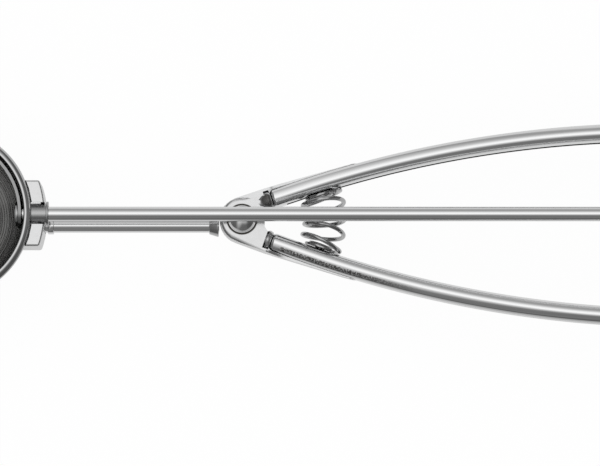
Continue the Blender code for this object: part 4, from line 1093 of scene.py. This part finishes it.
# %% [markdown]
# ## The strips of light
# Polished steel shows whatever stands round it, so a photographer sets white and black boards
# beside it. Area lamps and boards would do the same, but they'd have to be as long as the room.
# Here the world itself has the strips: they run along the scoop and change with the angle about
# its long axis, bright overhead and dark along each side. Only glossy rays see them, and all else
# sees plain white.

# %% The brightness round the scoop
# Each strip is its turn from overhead towards +Y, in degrees, and its brightness.
STRIPS = [(-180, 0.60), (-128, 0.36), (-102, 0.13), (-80, 0.13), (-62, 0.19), (-46, 0.17)]
STRIPS += [(-29, 0.20), (-14, 0.62), (0, 1.12), (17, 0.98), (32, 0.60), (49, 0.36), (67, 0.36)]
STRIPS += [(87, 0.68), (111, 0.72), (180, 0.66)]
STRIP_STOPS = [((degrees + 180) / 360, grey) for degrees, grey in STRIPS]
print(len(STRIPS), "strips, brightest", max(grey for degrees, grey in STRIPS))

# %% [markdown]
# ## The ends of the room
# A rounded rim or a handle's domed root looks along the scoop, towards the ends of the room. They
# are dark, which gives those edges their dark outline. Towards the bowl's end the strips spread
# out a little, as they do when a board leans outwards.

# %% Build the room
SPREAD, MOST_SPREAD = -3.6, 1.2
END_STARTS, END_FULL, END_SHARE = 0.30, 0.60, 0.90
END_WALL = (0.1, 0.1, 0.1, 1)

world = bpy.data.worlds.new("white_room")
bpy.context.scene.world = world
world.use_nodes = True
wire = Wire(world.node_tree)
direction = wire.node("ShaderNodeTexCoord", output="Generated")
end_on, side_on, overhead = (one_axis(wire, direction, axis) for axis in "XYZ")
spread = wire.node(
    "ShaderNodeClamp", None, {"Value": end_on * SPREAD, "Min": 0.0, "Max": MOST_SPREAD}
)
turn = wire.maths("ARCTAN2", side_on, overhead) / (1 + spread) / math.tau + 0.5
strips = wire.node("ShaderNodeValToRGB", {"stops": STRIP_STOPS}, {"Fac": turn})
far = fade(wire, wire.maths("ABSOLUTE", end_on), END_STARTS, END_FULL, high=END_SHARE)
strips = mix(wire, far, strips, END_WALL)
colour = mix(wire, light_path(wire, "Is Glossy Ray"), WHITE, strips)
background = world.node_tree.nodes["Background"]
wire.tree.links.new(colour.socket, background.inputs["Color"])
background.inputs["Strength"].default_value = 1.0
print("room built of", len(world.node_tree.nodes), "nodes")

# %% [markdown]
# ## The camera
# The photograph looks down on the open bowl from far off, tilted by five degrees towards the fixed
# handle. A long lens from 1.4 m keeps the slight perspective. The lens follows from how much of
# the scoop the picture's width takes in, so the frame stays right if the distance is changed.

# %% Set up the camera
TILT, AWAY = math.radians(85), 1.4
FOCUS = PIVOT + Vector((16.7 * MM, -3.15 * MM, -5 * MM))
SENSOR, PICTURE_WIDTH = 36, 174 * MM

camera = bpy.data.objects.new("camera", bpy.data.cameras.new("camera"))
bpy.context.scene.collection.objects.link(camera)
camera.location = FOCUS + Vector((0, -math.cos(TILT), math.sin(TILT))) * AWAY
camera.rotation_euler = (math.pi / 2 - TILT, 0, 0)
camera.data.sensor_width = SENSOR
camera.data.lens = SENSOR * AWAY / PICTURE_WIDTH
camera.data.clip_start = 0.01
bpy.context.scene.camera = camera
bpy.context.scene.view_settings.view_transform = "Standard"
print("lens", round(camera.data.lens, 1), "mm, from", AWAY, "m")
